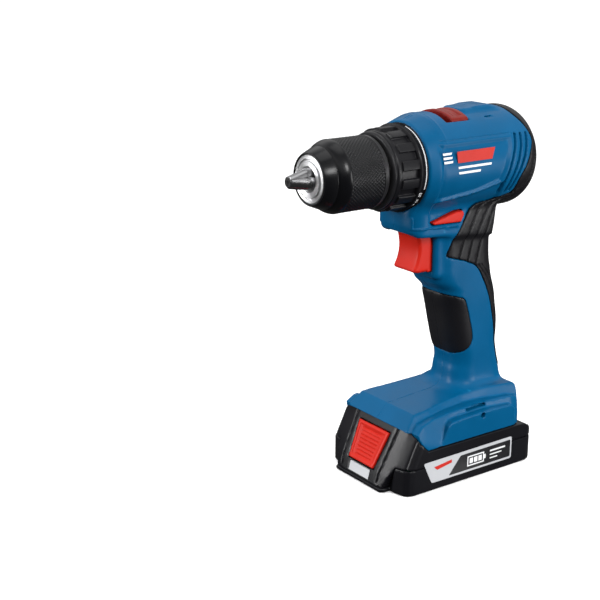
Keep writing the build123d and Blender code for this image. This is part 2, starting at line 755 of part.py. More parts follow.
with BuildPart() as chuck_rear_ring:
    with BuildSketch(Plane.YZ):
        Polygon(
            *profile((-54.7, 18.6), (-54.7, 21.1), (-53, 21.3), (CHUCK_REAR_Y, 20.8), (CHUCK_REAR_Y, 18.6)),
            align=None,
        )
    revolve(axis=SPIN_AXIS)
finish(chuck_rear_ring, "chuck_rear_ring")

# ---------------------------------------------------------------- trigger, switch and selectors

TRIGGER_HALF = 10.4
PLUNGER_Z = 143.0
PLUNGER_R = 3.0

with BuildPart() as trigger:
    with BuildSketch(Plane.YZ):
        with BuildLine():
            ThreePointArc((-21.4, 155.4), (-19.8, 145.5), (-23.0, 136.0))
            Polyline(
                (-23.0, 136.0), (-22.4, 133.0), (-19.6, 131.0), (-13.0, 130.4), (-10.4, 133.0),
                (-10.4, 152.4), (-13.0, 155.4), (-21.4, 155.4),
            )
        make_face()
    extrude(amount=TRIGGER_HALF, both=True)
    disc(-11, -2.4, PLUNGER_R, z=PLUNGER_Z)
finish(trigger, "trigger")

with BuildPart() as switch_body:
    block(-10.8, 10.8, 3.8, 29, 125, 154)
    fillet(switch_body.edges().filter_by(Axis.Y), 1.5)
    disc(-5, 16, PLUNGER_R + 0.06, z=PLUNGER_Z, mode=Mode.SUBTRACT)
finish(switch_body, "switch_body")

with BuildPart() as trigger_spring:
    with BuildLine() as spring_path:
        Helix(2.6, 12.6, 4.2, center=(0, -9.6, PLUNGER_Z), direction=(0, 1, 0))
    with BuildSketch(Plane(origin=spring_path.line @ 0, z_dir=spring_path.line % 0)):
        Circle(0.45)
    sweep(path=spring_path.line)
finish(trigger_spring, "trigger_spring")

with BuildPart() as direction_selector:
    with BuildSketch(Plane.YZ):
        Polygon(
            (-17.6, 163.4), (-16.6, 161.4), (4.0, 161.4), (6.6, 167.8), (-6.0, 167.8), (-17.0, 165.2),
            align=None,
        )
    extrude(amount=19.6, both=True)
finish(direction_selector, "direction_selector")

with BuildPart() as speed_selector:
    with BuildSketch(Plane.YZ):
        Polygon(
            (-2, SPINDLE_Z + 23.4), (-2, 226), (0, 227), (9, 227), (11, 226), (11, SPINDLE_Z + 23.4),
            align=None,
        )
    extrude(amount=15.5, both=True)
    with BuildSketch(along_spindle(12)):
        with Locations((0, SPINDLE_Z)):
            Circle(BARREL_R + 0.8)
    extrude(amount=15, mode=Mode.INTERSECT)
finish(speed_selector, "speed_selector")

# ---------------------------------------------------------------- contacts and wiring in the handle

BLADE_XS = (-12.0, -4.0, 4.0, 12.0)

with BuildPart() as terminal_block:
    block(-18, 18, 39.6, 45.3, 33.9, 44.3)
finish(terminal_block, "terminal_block")

with BuildPart() as terminal_blades:
    for x in BLADE_XS:
        block(x - 0.4, x + 0.4, 26, 39.6, 34.2, 37.2)
finish(terminal_blades, "terminal_blades")


def route(label, radius, *paths):
    """Insulated wires: one round tube along each path of straight runs and tangent arcs."""
    with BuildPart() as wires:
        for points, bends in paths:
            with BuildLine() as run:
                FilletPolyline(*points, radius=bends)
            with BuildSketch(Plane(origin=run.line @ 0, z_dir=run.line % 0)):
                Circle(radius)
            sweep(path=run.line)
    finish(wires, label)


route(
    "wiring", 1.1,
    *[
        (((x, 40.5, 44.3), (x, 40.5, 50), (x, 33, 64), (x, 20, 108), (x, 20, 125)), (4.0, 9.0, 20.0))
        for x in (-4.5, 4.5)
    ],
    *[
        (((x, 27, 154), (x, 27, 171.5), (x, 47.2, 171.5), (x, 47.2, 176.8)), (4.0, 4.0))
        for x in (-5.5, 5.5)
    ],
)

# ---------------------------------------------------------------- battery pack

PACK_SCREW_R = 1.1
PACK_SCREWS = [(x, y) for x in (-34.6, 34.6) for y in (-37.5, 41.0)]
CELL_YS = [2.0 + CELL_PITCH * (number - 2) for number in range(5)]
CELL_Z = 12.0
FRONT_HALF = 24.0
SLOPE_FOOT = (-53.8, 11.4)        # lower and upper ends of the sloping front, (y, z)
SLOPE_HEAD = (-42.6, 34.6)
SLOPE = Plane(
    origin=(0, (SLOPE_FOOT[0] + SLOPE_HEAD[0]) / 2, (SLOPE_FOOT[1] + SLOPE_HEAD[1]) / 2),
    x_dir=(1, 0, 0),
    z_dir=(0, SLOPE_FOOT[1] - SLOPE_HEAD[1], SLOPE_HEAD[0] - SLOPE_FOOT[0]),
)


def battery_outline(inset):
    """Outline of the pack from above, corner points of one closed loop."""
    half = BATTERY_HALF - inset
    long = BATTERY_LONG - inset
    rear = BATTERY_REAR - inset
    return (
        (-FRONT_HALF, -long), (FRONT_HALF, -long), (half, -46 + inset / 2), (half, rear - 6),
        (half - 6, rear), (-half + 6, rear), (-half, rear - 6), (-half, -46 + inset / 2),
    )


with BuildPart() as battery_lower_shell:
    with BuildSketch():
        Polygon(*battery_outline(0), align=None)
    extrude(amount=BATTERY_SPLIT)
    chamfer(battery_lower_shell.faces().sort_by(Axis.Z)[0].edges(), 1.4)
    with BuildSketch(Plane.XY.offset(2.2)):
        Polygon(*battery_outline(2), align=None)
    extrude(amount=20, mode=Mode.SUBTRACT)
    block(-FRONT_HALF - 0.1, FRONT_HALF + 0.1, -60, -46, 1.9, 20, mode=Mode.SUBTRACT)
    # posts for the pack's screws
    with BuildSketch():
        with Locations(*PACK_SCREWS):
            Rectangle(4.0, 7)
    extrude(amount=BATTERY_SPLIT)
    with BuildSketch():
        with Locations(*PACK_SCREWS):
            Circle(PACK_SCREW_R)
    extrude(amount=BATTERY_SPLIT, mode=Mode.SUBTRACT)
    with BuildSketch():
        with Locations(*PACK_SCREWS):
            Circle(PACK_SCREW_R + 0.8)
    extrude(amount=2, mode=Mode.SUBTRACT)
finish(battery_lower_shell, "battery_lower_shell")

BUTTON = ((-12.1, -12.3), (12.1, -12.3), (14.8, 12.3), (-14.8, 12.3))
BUTTON_PLAY = 0.35
LATCH_HALF = 7.0

with BuildPart() as battery_upper_shell:
    with BuildSketch(Plane.XY.offset(BATTERY_SPLIT)):
        Polygon(*battery_outline(0), align=None)
    extrude(amount=DECK_TOP - BATTERY_SPLIT)
    block(-INNER_DECK_HALF, INNER_DECK_HALF, -36, 45.2, DECK_TOP, INNER_DECK_TOP)
    # raised front with its sloping face, lower in the shoulders
    with BuildSketch(Plane.YZ):
        Polygon(
            (-BATTERY_LONG, 2.0), SLOPE_FOOT, SLOPE_HEAD, (-41.2, RAIL_TOP - 0.4), (-38.5, RAIL_TOP - 0.4),
            (-36.8, 32), (-36.5, BATTERY_SPLIT), (-46.1, BATTERY_SPLIT), (-46.1, 2.0),
            align=None,
        )
    extrude(amount=FRONT_HALF, both=True)
    with BuildSketch(Plane.YZ):
        Polygon(
            (-49, DECK_TOP - 4), (-43.5, 34), (-38.4, 36), (-36.8, 32), (-32.6, DECK_TOP + 0.4),
            (-32.6, DECK_TOP - 4),
            align=None,
        )
    extrude(amount=35, both=True)
    # rails that hold the pack in the foot
    block(-NECK_HALF, NECK_HALF, -39, 38.4, INNER_DECK_TOP, RAIL_TOP)
    block(-RAIL_HALF, RAIL_HALF, -39, 38.4, 34.0, RAIL_TOP)
    # nothing of the full-width deck stays in front of the sloping face
    with BuildSketch(Plane.YZ):
        Polygon(SLOPE_FOOT, SLOPE_HEAD, (-42.6, 60), (-60, 60), (-60, 11.4), align=None)
    extrude(amount=60, both=True, mode=Mode.SUBTRACT)
    # the rear edge slopes down behind the foot
    with BuildSketch(Plane.YZ):
        Polygon((49, DECK_TOP + 0.1), (55, 23.4), (57.6, 19.6), (60, 40), (49, 40), align=None)
    extrude(amount=60, both=True, mode=Mode.SUBTRACT)
    # hollow for cells and board
    with BuildSketch(Plane.XY.offset(BATTERY_SPLIT)):
        Polygon(
            (-36, -44.6), (36, -44.6), (36, 46), (30, 52), (-30, 52), (-36, 46),
            align=None,
        )
    extrude(amount=8, mode=Mode.SUBTRACT)
    block(-30, 30, -30, 36, 24, 29, mode=Mode.SUBTRACT)
    # posts for the pack's screws
    with BuildSketch(Plane.XY.offset(BATTERY_SPLIT)):
        with Locations(*PACK_SCREWS):
            Rectangle(4.0, 7)
    extrude(amount=8)
    with BuildSketch(Plane.XY.offset(BATTERY_SPLIT)):
        with Locations(*PACK_SCREWS):
            Circle(PACK_SCREW_R)
    extrude(amount=6, mode=Mode.SUBTRACT)
    # contact slots, open to the rear
    for x in BLADE_XS:
        block(x - 1.6, x + 1.6, 20, 39, 28.5, RAIL_TOP + 1, mode=Mode.SUBTRACT)
    # pocket of the release button and slot of its catch
    with BuildSketch(SLOPE.offset(-8)):
        with BuildLine():
            Polyline(*BUTTON, close=True)
        make_face()
        offset(amount=BUTTON_PLAY, kind=Kind.INTERSECTION)
    extrude(amount=20, mode=Mode.SUBTRACT)
    block(-LATCH_HALF - 0.4, LATCH_HALF + 0.4, -44, -29, 27, 40, mode=Mode.SUBTRACT)
finish(battery_upper_shell, "battery_upper_shell")

with BuildPart() as release_button:
    with BuildSketch(SLOPE.offset(-3)):
        Polygon(*BUTTON, align=None)
    extrude(amount=3.9)
    chamfer(release_button.faces().sort_by(Axis.Y)[0].edges(), 0.5)
    # cross ribs
    for rib in range(7):
        with BuildSketch(SLOPE.offset(0.8)):
            with Locations((0, -8.4 + 2.8 * rib)):
                Rectangle(19, 1.2)
        extrude(amount=0.8)
    # catch that reaches up behind the rails
    with BuildSketch(Plane.YZ):
        Polygon(
            (-44, 30.2), (-41.5, 36.9), (-36.4, 36.9), (-36.4, 34.4), (-39, 33.4), (-41.6, 28.6),
            align=None,
        )
    extrude(amount=LATCH_HALF, both=True)
finish(release_button, "release_button")

SPRING_SEAT = SLOPE.offset(-7.5).from_local_coords((0, 3.0, 0))
with BuildPart() as release_spring:
    with BuildLine() as spring_path:
        Helix(1.3, 3.9, 2.1, center=SPRING_SEAT, direction=SLOPE.z_dir)
    with BuildSketch(Plane(origin=spring_path.line @ 0, z_dir=spring_path.line % 0)):
        Circle(0.4)
    sweep(path=spring_path.line)
finish(release_spring, "release_spring")

with BuildPart() as battery_cells:
    for y in CELL_YS:
        with Locations((0, y, CELL_Z)):
            Cylinder(CELL_R, CELL_LENGTH, rotation=(0, 90, 0))
finish(battery_cells, "battery_cells")

with BuildPart() as battery_board:
    block(-28, 28, -28, 35, 25.4, 27.0)
finish(battery_board, "battery_board")

with BuildPart() as battery_contacts:
    for x in BLADE_XS:
        for side in (-1, 1):
            block(x + side * 1.1 - 0.3, x + side * 1.1 + 0.3, 21, 34, 27.0, 37.0)
finish(battery_contacts, "battery_contacts")

with BuildPart() as battery_screws:
    for x, y in PACK_SCREWS:
        with Locations((x, y, 12)):
            Cylinder(PACK_SCREW_R, 20)
        with Locations((x, y, 1.3)):
            Cylinder(PACK_SCREW_R + 0.7, 1.4)
finish(battery_screws, "battery_screws")

with BuildPart() as battery_labels:
    for side in (-1, 1):
        with BuildSketch(Plane.YZ.offset(side * BATTERY_HALF)):
            Polygon((-35, 20), (-28.4, 5.4), (38.4, 5.4), (38.4, 20.6), align=None)
        extrude(amount=side * 0.25)
finish(battery_labels, "battery_labels")
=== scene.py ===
import json
import math

import bmesh
import bpy
import numpy as np
import openvdb
from mathutils import Matrix, Vector


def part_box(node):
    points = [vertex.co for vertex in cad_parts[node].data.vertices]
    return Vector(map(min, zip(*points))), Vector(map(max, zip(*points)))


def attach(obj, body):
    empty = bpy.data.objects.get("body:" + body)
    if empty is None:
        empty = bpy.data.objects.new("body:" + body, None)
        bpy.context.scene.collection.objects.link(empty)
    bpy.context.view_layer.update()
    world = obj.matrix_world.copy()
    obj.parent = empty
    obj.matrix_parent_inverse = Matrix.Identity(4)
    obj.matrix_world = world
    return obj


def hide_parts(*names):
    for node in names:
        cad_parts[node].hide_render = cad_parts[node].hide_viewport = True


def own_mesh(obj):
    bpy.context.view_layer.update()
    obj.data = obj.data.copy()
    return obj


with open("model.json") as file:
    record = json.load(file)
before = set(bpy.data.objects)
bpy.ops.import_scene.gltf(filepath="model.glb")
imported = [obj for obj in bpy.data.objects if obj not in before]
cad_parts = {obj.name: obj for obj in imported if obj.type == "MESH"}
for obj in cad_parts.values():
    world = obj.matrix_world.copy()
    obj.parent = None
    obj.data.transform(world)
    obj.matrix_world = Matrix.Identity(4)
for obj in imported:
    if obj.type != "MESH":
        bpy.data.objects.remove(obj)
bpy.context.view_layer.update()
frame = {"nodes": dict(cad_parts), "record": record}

MM = 0.001
STEP = 0.55          # sample spacing of the moulded shapes

# ---------------- places from the frame, in millimetres


def box_mm(node):
    """Lowest and highest corner of a CAD node in millimetres."""
    low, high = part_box(node)
    return np.array(low) / MM, np.array(high) / MM


COLLAR_REAR = box_mm("torque_collar")[1][1]
SLEEVE_LOW, SLEEVE_HIGH = box_mm("chuck_sleeve")
AXIS_Z = (SLEEVE_LOW[2] + SLEEVE_HIGH[2]) / 2
SLEEVE_R = (SLEEVE_HIGH[2] - SLEEVE_LOW[2]) / 2
BARREL_REAR = box_mm("left_rear_grip")[1][1]
BARREL_R = 31.0
BARREL_FRONT = COLLAR_REAR + 0.3
BARREL_BORE = 26.6                # inside radius of the barrel
WALL = 3.9                        # from the outer surface to the hollow
SKIN = 1.5                        # thickness of the moulded rubber
SKIN_GAP = 0.12                   # from the rubber's outline to the plastic's
SEAM = 0.25                       # how far each half reaches past the middle plane
SHARP = 42                        # edges steeper than this many degrees stay crisp
THIN = 0.01                       # how freely flat areas get larger faces
FOOT_BOTTOM = 27.2
SCREW_HOLE = 2.6                  # radius of the screw wells
SCREW_DEPTH = 9.6                 # where they end, from the middle plane
SCREWS = ((-23.6, 160.4), (52, 217), (52, 172.5), (35.6, 124), (12.4, 86), (-28, 42.5), (45, 48.2))

# ---------------- meshes and objects


def linked(name, mesh):
    """An object of that mesh, put in the scene."""
    piece = bpy.data.objects.new(name, mesh)
    bpy.context.scene.collection.objects.link(piece)
    return piece


def outward_mesh(name, verts, faces):
    """A mesh from corners in metres, its faces turned outward."""
    mesh = bpy.data.meshes.new(name)
    mesh.from_pydata(verts, [], faces)
    bm = bmesh.new()
    bm.from_mesh(mesh)
    bmesh.ops.recalc_face_normals(bm, faces=bm.faces)
    bm.to_mesh(mesh)
    bm.free()
    return mesh


def thicken(bm, faces, offset):
    """Draw flat faces out into a closed slab."""
    made = bmesh.ops.extrude_face_region(bm, geom=faces)
    moved = [v for v in made["geom"] if isinstance(v, bmesh.types.BMVert)]
    bmesh.ops.translate(bm, verts=moved, vec=offset)
    bmesh.ops.recalc_face_normals(bm, faces=bm.faces)


def joined(name, parts):
    """One piece from several meshes."""
    bm = bmesh.new()
    for part in parts:
        bm.from_mesh(part.data)
        bpy.data.objects.remove(part)
    mesh = bpy.data.meshes.new(name)
    bm.to_mesh(mesh)
    bm.free()
    return linked(name, mesh)


def mirrored(piece, name):
    """A copy of a piece reflected through the plane between the housing halves."""
    mesh = piece.data.copy()
    mesh.transform(Matrix.Diagonal((-1, 1, 1, 1)))
    mesh.flip_normals()
    return linked(name, mesh)


# ---------------- signed distance modelling


class Space:
    """A regular block of sample points, in millimetres, for shapes given as distance fields."""

    def __init__(self, low, high, step):
        self.low = np.array(low, float)
        self.step = step
        counts = np.ceil((np.array(high, float) - self.low) / step).astype(int) + 1
        axes = [self.low[i] + step * np.arange(counts[i], dtype=np.float32) for i in range(3)]
        self.x = axes[0].astype(np.float32)[:, None, None]
        self.y = axes[1].astype(np.float32)[None, :, None]
        self.z = axes[2].astype(np.float32)[None, None, :]

    def mesh(self, name, field):
        """Surface of the field's zero level as an object in metres."""
        reach = 3 * self.step
        full = np.clip(np.broadcast_to(field, (self.x.size, self.y.size, self.z.size)), -reach, reach)
        full = np.ascontiguousarray(full, dtype=np.float32)
        full[0], full[-1] = reach, reach
        full[:, 0], full[:, -1] = reach, reach
        full[:, :, 0], full[:, :, -1] = reach, reach
        grid = openvdb.FloatGrid(reach)
        grid.copyFromArray(full)
        points, triangles, quads = grid.convertToPolygons(0.0, THIN)
        points = (points * self.step + self.low) * MM
        faces = [tuple(int(i) for i in reversed(q)) for q in quads]
        faces += [tuple(int(i) for i in reversed(t)) for t in triangles]
        mesh = bpy.data.meshes.new(name)
        mesh.from_pydata(points.tolist(), [], faces)
        mesh.update()
        mesh.shade_smooth()
        mesh.set_sharp_from_angle(angle=math.radians(SHARP))
        return linked(name, mesh)


def join(a, b, k):
    """Union with a fillet of about k."""
    h = np.clip(0.5 + 0.5 * (b - a) / k, 0, 1)
    return b * (1 - h) + a * h - k * h * (1 - h)


def meet(a, b, k):
    """Intersection with an edge rounding of about k."""
    return -join(-a, -b, k)


def cut(a, b, k=0.3):
    """a with b taken away."""
    return meet(a, -b, k)


def overlap(first, *others):
    """Intersection with sharp edges."""
    for other in others:
        first = np.maximum(first, other)
    return first


def within(value, middle, half):
    """How far a coordinate lies outside the stretch of middle plus and minus half."""
    return np.abs(value - middle) - half


def round_corner(a, b, radius):
    """Two fields that start a radius inside their walls, met in an edge of that radius."""
    return np.sqrt(np.maximum(a, 0) ** 2 + np.maximum(b, 0) ** 2) + np.minimum(np.maximum(a, b), 0) - radius


def stroke(u, v, points):
    """Distance to an open polyline on the plane of u and v, which broadcast together."""
    u, v = np.broadcast_arrays(u, v)
    best = np.full(u.shape, 1e9, np.float32)
    for (ax, ay), (bx, by) in zip(points[:-1], points[1:]):
        ex, ey = bx - ax, by - ay
        wx, wy = u - ax, v - ay
        t = np.clip((wx * ex + wy * ey) / (ex * ex + ey * ey), 0, 1)
        best = np.minimum(best, (wx - ex * t) ** 2 + (wy - ey * t) ** 2)
    return np.sqrt(best)


def polygon(u, v, points):
    """Signed distance to a closed polygon on the plane of u and v."""
    pts = np.array(points, np.float32)
    pts = np.vstack((pts, pts[:1]))
    inside = False
    for (ax, ay), (bx, by) in zip(pts[:-1], pts[1:]):
        crosses = (ay <= v) != (by <= v)
        side = (bx - ax) * (v - ay) - (by - ay) * (u - ax)
        inside = inside ^ (crosses & ((side > 0) == (by > ay)))
    return np.where(inside, -1, 1) * stroke(u, v, pts)


def curve(points, per=8):
    """A smooth line through a few points (Catmull-Rom)."""
    pts = [np.array(p, float) for p in points]
    pts = [2 * pts[0] - pts[1]] + pts + [2 * pts[-1] - pts[-2]]
    out = []
    for a, b, c, d in zip(pts, pts[1:], pts[2:], pts[3:]):
        for t in np.arange(per) / per:
            out.append(tuple(0.5 * (2 * b + (c - a) * t + (2 * a - 5 * b + 4 * c - d) * t * t
                                    + (3 * b - a - 3 * c + d) * t ** 3)))
    out.append(tuple(pts[-2]))
    return out


def band(distance, width, soft):
    """1 inside a band of that half width about a distance of 0, falling to 0 over soft."""
    return np.clip((width + soft / 2 - np.abs(distance)) / soft, 0, 1)


def step_in(distance, soft):
    """1 inside a region (distance below 0), 0 outside, with a soft edge."""
    t = np.clip(0.5 - distance / soft, 0, 1)
    return t * t * (3 - 2 * t)


def extrude_x(x, profile, half, corner):
    """A side profile (distance in the y, z plane) drawn out to |x| = half, with rounded edges."""
    return round_corner(profile + corner, np.abs(x) - half + corner, corner)


def rounded_box(s, centre, half, corner):
    """Box with rounded edges in a space."""
    q = [np.abs(c - m) - h + corner for c, m, h in zip((s.x, s.y, s.z), centre, half)]
    out = np.sqrt(sum(np.maximum(e, 0) ** 2 for e in q))
    return out + np.minimum(np.maximum(np.maximum(q[0], q[1]), q[2]), 0) - corner


def table(z, rows, column):
    """A smooth value along z through rows of (z, value, value, ...)."""
    fine = curve([(row[0], row[column]) for row in rows])
    return np.interp(z, [p[0] for p in fine], [p[1] for p in fine]).astype(np.float32)


# ---------------- the drill's body

HANDLE = (                        # z, centre y, half width, half depth
    (34, 31.0, 19.0, 20.5),
    (48, 31.4, 18.4, 20.2),
    (60, 30.9, 17.2, 19.7),
    (66, 30.6, 17.0, 18.4),
    (72, 29.5, 16.9, 18.2),
    (78, 27.9, 16.9, 18.8),
    (86, 27.0, 17.0, 20.0),
    (94, 25.8, 17.1, 20.7),
    (102, 24.2, 17.2, 20.9),
    (110, 22.5, 17.2, 21.3),
    (116, 20.9, 17.1, 21.3),
    (122, 17.0, 17.0, 23.4),
    (128, 15.4, 17.0, 23.8),
    (134, 14.8, 17.0, 23.2),
    (146, 14.0, 17.0, 23.4),
    (152, 14.4, 17.4, 23.9),
    (158, 15.2, 17.8, 24.4),
    (184, 15.5, 18.0, 26.0),
)
REAR_RUBBER = [(-2.4, 140.5), (1.7, 151.7), (12, 168.6)] + curve([
    (12, 168.6), (17, 171.4), (26, 172.4), (35.5, 174.4), (40.6, 177), (42.2, 185), (45.8, 192.1),
    (49.4, 200.7), (52.4, 207.1), (51.6, 212), (49.4, 217), (47.0, 221.5), (45.6, 226),
])[1:] + [(45.6, 236), (75, 238), (75, 60), (46, 60)] + curve([
    (44.6, 64), (41.9, 74), (38.4, 90), (33.4, 108), (27.6, 121), (21.4, 130.2), (11.5, 135.2),
]) + [(-1.4, 139)]
FRONT_RUBBER = curve([
    (-19, 125), (-10, 118.5), (0, 114.5), (9, 112.2), (13, 110), (15.4, 104), (18.2, 95), (20.4, 86),
    (19.6, 80), (15.6, 75.4), (8, 71.8), (0, 70.4), (-14, 69.4),
]) + [(-24, 72), (-24, 122)]
REAR_RIBS = (
    ((6.4, 137.0), (11.5, 152), (20.5, 169), (30, 173.4), (43, 176)),
    ((13.5, 134.4), (18.5, 151), (27.5, 167.5), (37, 173), (47, 181), (53, 195), (57, 212)),
    ((20, 131), (25, 150), (33, 167), (44, 173), (52, 184), (57, 200)),
)
PANEL = [(-21, 176.3), (-8, 177.8), (8.5, 179.6), (27.4, 184.4)] + curve(
    [(27.4, 184.4), (30.4, 191), (32.6, 198.1), (35, 205), (36.0, 210.8)])[1:] + [(-21, 210.8)]
PANEL_DEPTH = 1.5
FINS = (
    ((39.4, 211.7), (37.3, 204.8), (34.7, 198.3), (32.3, 190.5), (30.1, 182.9), (29.3, 177.5)),
    ((43.9, 211.6), (42.3, 205.3), (39.8, 197.8), (37.2, 190), (35.0, 182.2), (34.0, 177.6)),
    ((48.5, 211.6), (46.7, 204.9), (44.0, 197.3), (41.1, 189.5), (38.6, 182.4), (37.2, 178.0)),
)


def across(s, at, values):
    """Values along y at those places, ready to combine with a field."""
    return np.interp(s.y.ravel(), at, values).astype(np.float32)[None, :, None]


def barrel_field(s):
    """A shouldered cylinder with a generously rounded rear end, and the fairing on its top."""
    radius = np.sqrt(s.x * s.x + (s.z - AXIS_Z) ** 2)
    shoulder = across(s, [BARREL_FRONT, BARREL_FRONT + 1.0, BARREL_FRONT + 6.5, BARREL_FRONT + 11.0],
                      [26.9, 27.8, 29.6, BARREL_R])
    back = 13.5
    barrel = round_corner(radius - (shoulder - back), s.y - (BARREL_REAR - back), back)
    barrel = meet(barrel, BARREL_FRONT - s.y, 0.8)
    fairing = polygon(s.y, s.z, [(12.2, 200), (12.2, 226.4), (14, 227.2), (20, 227.4), (24, 228.1),
                                 (34, 228.2), (39, 226.9), (42, 225.2), (42, 200)])
    return join(barrel, extrude_x(s.x, fairing, 9.5, 2.4), 2.4)


def block_field(s):
    """The block over the trigger, with a rounded nose."""
    side = polygon(s.y, s.z, [(-32, 186), (-32, 161), (-30.6, 157), (-26, 154.4), (-8, 153.0), (12, 152),
                              (32, 150), (36, 186)])
    nose_r = 11
    plan = round_corner(np.abs(s.x) - (18.6 - nose_r), -32 + nose_r - s.y, nose_r)
    return meet(meet(side, plan, 2.6), s.z - AXIS_Z, 2)


def handle_field(s):
    """Rounded sections whose centre and size change with height."""
    centre, wide, deep = (table(s.z.ravel(), HANDLE, i)[None, None, :] for i in (1, 2, 3))
    edge_r = 12.5
    handle = round_corner(np.abs(s.x) - wide + edge_r, np.abs(s.y - centre) - deep + edge_r, edge_r)
    handle = meet(meet(handle, s.z - 178, 2), 36 - s.z, 2)
    rim = rounded_box(s, (0, 0, 141.5), (14.5, 10.4, 16.5), 4.0)
    return join(handle, rim, 1.5)


def foot_field(s):
    """Three terraces inside one plan."""
    x, y, z = s.x, s.y, s.z
    plan = polygon(np.abs(x), y, [(-5, -42.6), (23.8, -42.6), (36, -39), (37.6, -36), (37.6, 40),
                                  (35.5, 45.0), (30, 48.4), (-5, 48.4)])
    top = polygon(y, z, [(-33.4, 47.2), (-42.2, 38.0), (-42.7, 24), (48.4, 24), (48.4, 50.6), (46.6, 52.2),
                         (30, 51.6), (14, 50.2)])
    edge = across(s, [-42, -33, -22, -9, 9, 25, 40, 48], [24.4, 25.0, 24.6, 22.4, 21.2, 23.4, 27.5, 29.5])
    first = meet(top, (np.abs(x) - edge - (49.5 - z) * 0.45) * 0.9, 0.9)
    second = polygon(y, z, [(-39.4, 33), (-38.6, 38), (-33.5, 42.4), (-24, 44.2), (-9.5, 45.0), (16, 45.6),
                            (40, 45.8), (45.4, 44.6), (48, 40), (48, 24), (-36, 24)])
    edge = across(s, [-40, -33, -24, -9.5, 16, 40, 48], [33.8, 33.4, 32.4, 31.0, 30.8, 33.2, 32])
    second = meet(second, (np.abs(x) - edge - (45 - z) * 0.30) * 0.96, 0.7)
    third = polygon(y, z, [(-20.8, 24), (-20, 29), (-15.0, 39.0), (-12, 41.0), (-5, 41.8), (20, 42.4),
                           (37, 41.8), (40.6, 39), (41.2, 24)])
    third = extrude_x(x, third, 37.5, 0.8)
    foot = join(join(first, second, 0.8), third, 0.8)
    return meet(meet(foot, plan, 0.9), FOOT_BOTTOM - z, 0.5)


def base_field(s):
    """The body without its surface detail: barrel, block, handle and foot melted together."""
    body = join(block_field(s), handle_field(s), 4)
    body = join(body, barrel_field(s), 3.5)
    body = join(body, foot_field(s), across(s, [-10, 20, 40], [12.0, 8.0, 4.0]))
    return meet(body, FOOT_BOTTOM - s.z, 0.5)


def surface_detail(s, field):
    """Panels, bevels, vent fins and ridges worked into the outer surface of the body."""
    x, y, z = s.x, s.y, s.z
    on_side = step_in(17 - np.abs(x), 4.0)
    on_top = step_in(AXIS_Z - z, 2)
    field = field + PANEL_DEPTH * np.clip(-polygon(y, z, PANEL) / 2.4, 0, 1) * on_side
    # groove along the panel's top
    field = field + 0.7 * band(stroke(y, z, [(-19, 212.3), (36.5, 212.3)]), 0.3, 0.5) * on_side
    # the surface under the panel falls away in a step
    lip = across(s, [-34, -27.5, -8, 8.5, 27.4, 34], [174.6, 175.0, 177.2, 179.0, 183.6, 185])
    below = step_in(z - lip, 0.9) * step_in(within(y, 5.5, 25), 2.5) * np.clip((z - 160) / 8, 0, 1)
    field = field + 1.3 * below * on_side
    for fin in FINS:
        field = field + 3.0 * band(stroke(y, z, curve(fin)), 0.55, 0.7) * on_side
    # crease that marks the front shoulder, and the short vent behind the selector
    field = field - 0.3 * band(y + 14.6, 0.3, 0.9) * step_in(AXIS_Z + 16 - z, 3)
    field = field + 0.9 * band(stroke(y, z, [(25, 221.9), (30, 221.9)]), 0.3, 0.5) * step_in(12 - x, 1)
    # pointer line on the front of the barrel's top
    pointer = overlap(within(x, 1.0, 0.35), within(y, -22.5, 2.6))
    field = field - 0.3 * step_in(pointer, 0.5) * on_top
    # thin raised corner in front of the reversing slide
    mark = stroke(y, z, [(-29.8, 166.4), (-29.8, 160.0), (-16.8, 160.0), (2, 159.0)])
    return field - 0.9 * band(mark, 0.45, 0.7) * step_in(8 - np.abs(x), 1)


def selector_slab(s, grow):
    """Plan of the speed selector, grown on all sides."""
    low, high = box_mm("speed_selector")
    middle, half = (low[1] + high[1]) / 2, (high[1] - low[1]) / 2
    return overlap(np.abs(s.x) - high[0] - grow, within(s.y, middle, half) - grow)


def selector_pocket(s):
    """Room for the speed selector at rest and pushed forward."""
    low, high = box_mm("speed_selector")
    here = overlap(selector_slab(s, 0.35), AXIS_Z + 18 - s.z)
    forward = overlap(np.abs(s.x) - high[0] - 0.4, within(s.y, low[1] - 2, 2.7), AXIS_Z + 22.9 - s.z)
    return np.minimum(here, forward)


def battery_bay(s):
    """Room for the pack's deck and rails, open to the front."""
    x, y, z = np.abs(s.x), s.y, s.z
    bay = overlap(x - 34.4, z - 31.5, y - 45.8)
    bay = np.minimum(bay, overlap(x - 26.6, 33.7 - z, z - 38.3, y - 45.8))
    bay = np.minimum(bay, overlap(x - 22.6, 29 - z, z - 38.3, y - 45.8))
    front = polygon(y, z, [(-60, 10), (-31.4, 10), (-31.4, 27.6), (-36.2, 32.4), (-38.4, 38.0), (-60, 38.6)])
    return np.minimum(bay, front)


def open_housing(s, shell, core, slot):
    """Mouths, pockets, battery bay and hollow of the housing, ended at the middle plane."""
    x, y, z = s.x, s.y, s.z
    radius = np.sqrt(x * x + (z - AXIS_Z) ** 2)
    shell = cut(shell, overlap(radius - 26.0, y - BARREL_FRONT - 2.5), 0.5)
    low, high = box_mm("trigger")
    mouth = (high[0] + 0.5, 21.6, (high[2] - low[2]) / 2 + 0.6)
    shell = cut(shell, rounded_box(s, (0, -24, (low[2] + high[2]) / 2), mouth, 1.0), 0.5)
    shell = cut(shell, slot, 0.5)
    shell = cut(shell, selector_pocket(s), 0.4)
    shell = cut(shell, battery_bay(s), 0.35)
    shell = cut(shell, overlap(core + WALL, 52 - z), 0.3)
    shell = cut(shell, overlap(radius - BARREL_BORE, BARREL_FRONT + 2 - y, y - 56), 0.3)
    return meet(shell, -SEAM - x, 0.1)


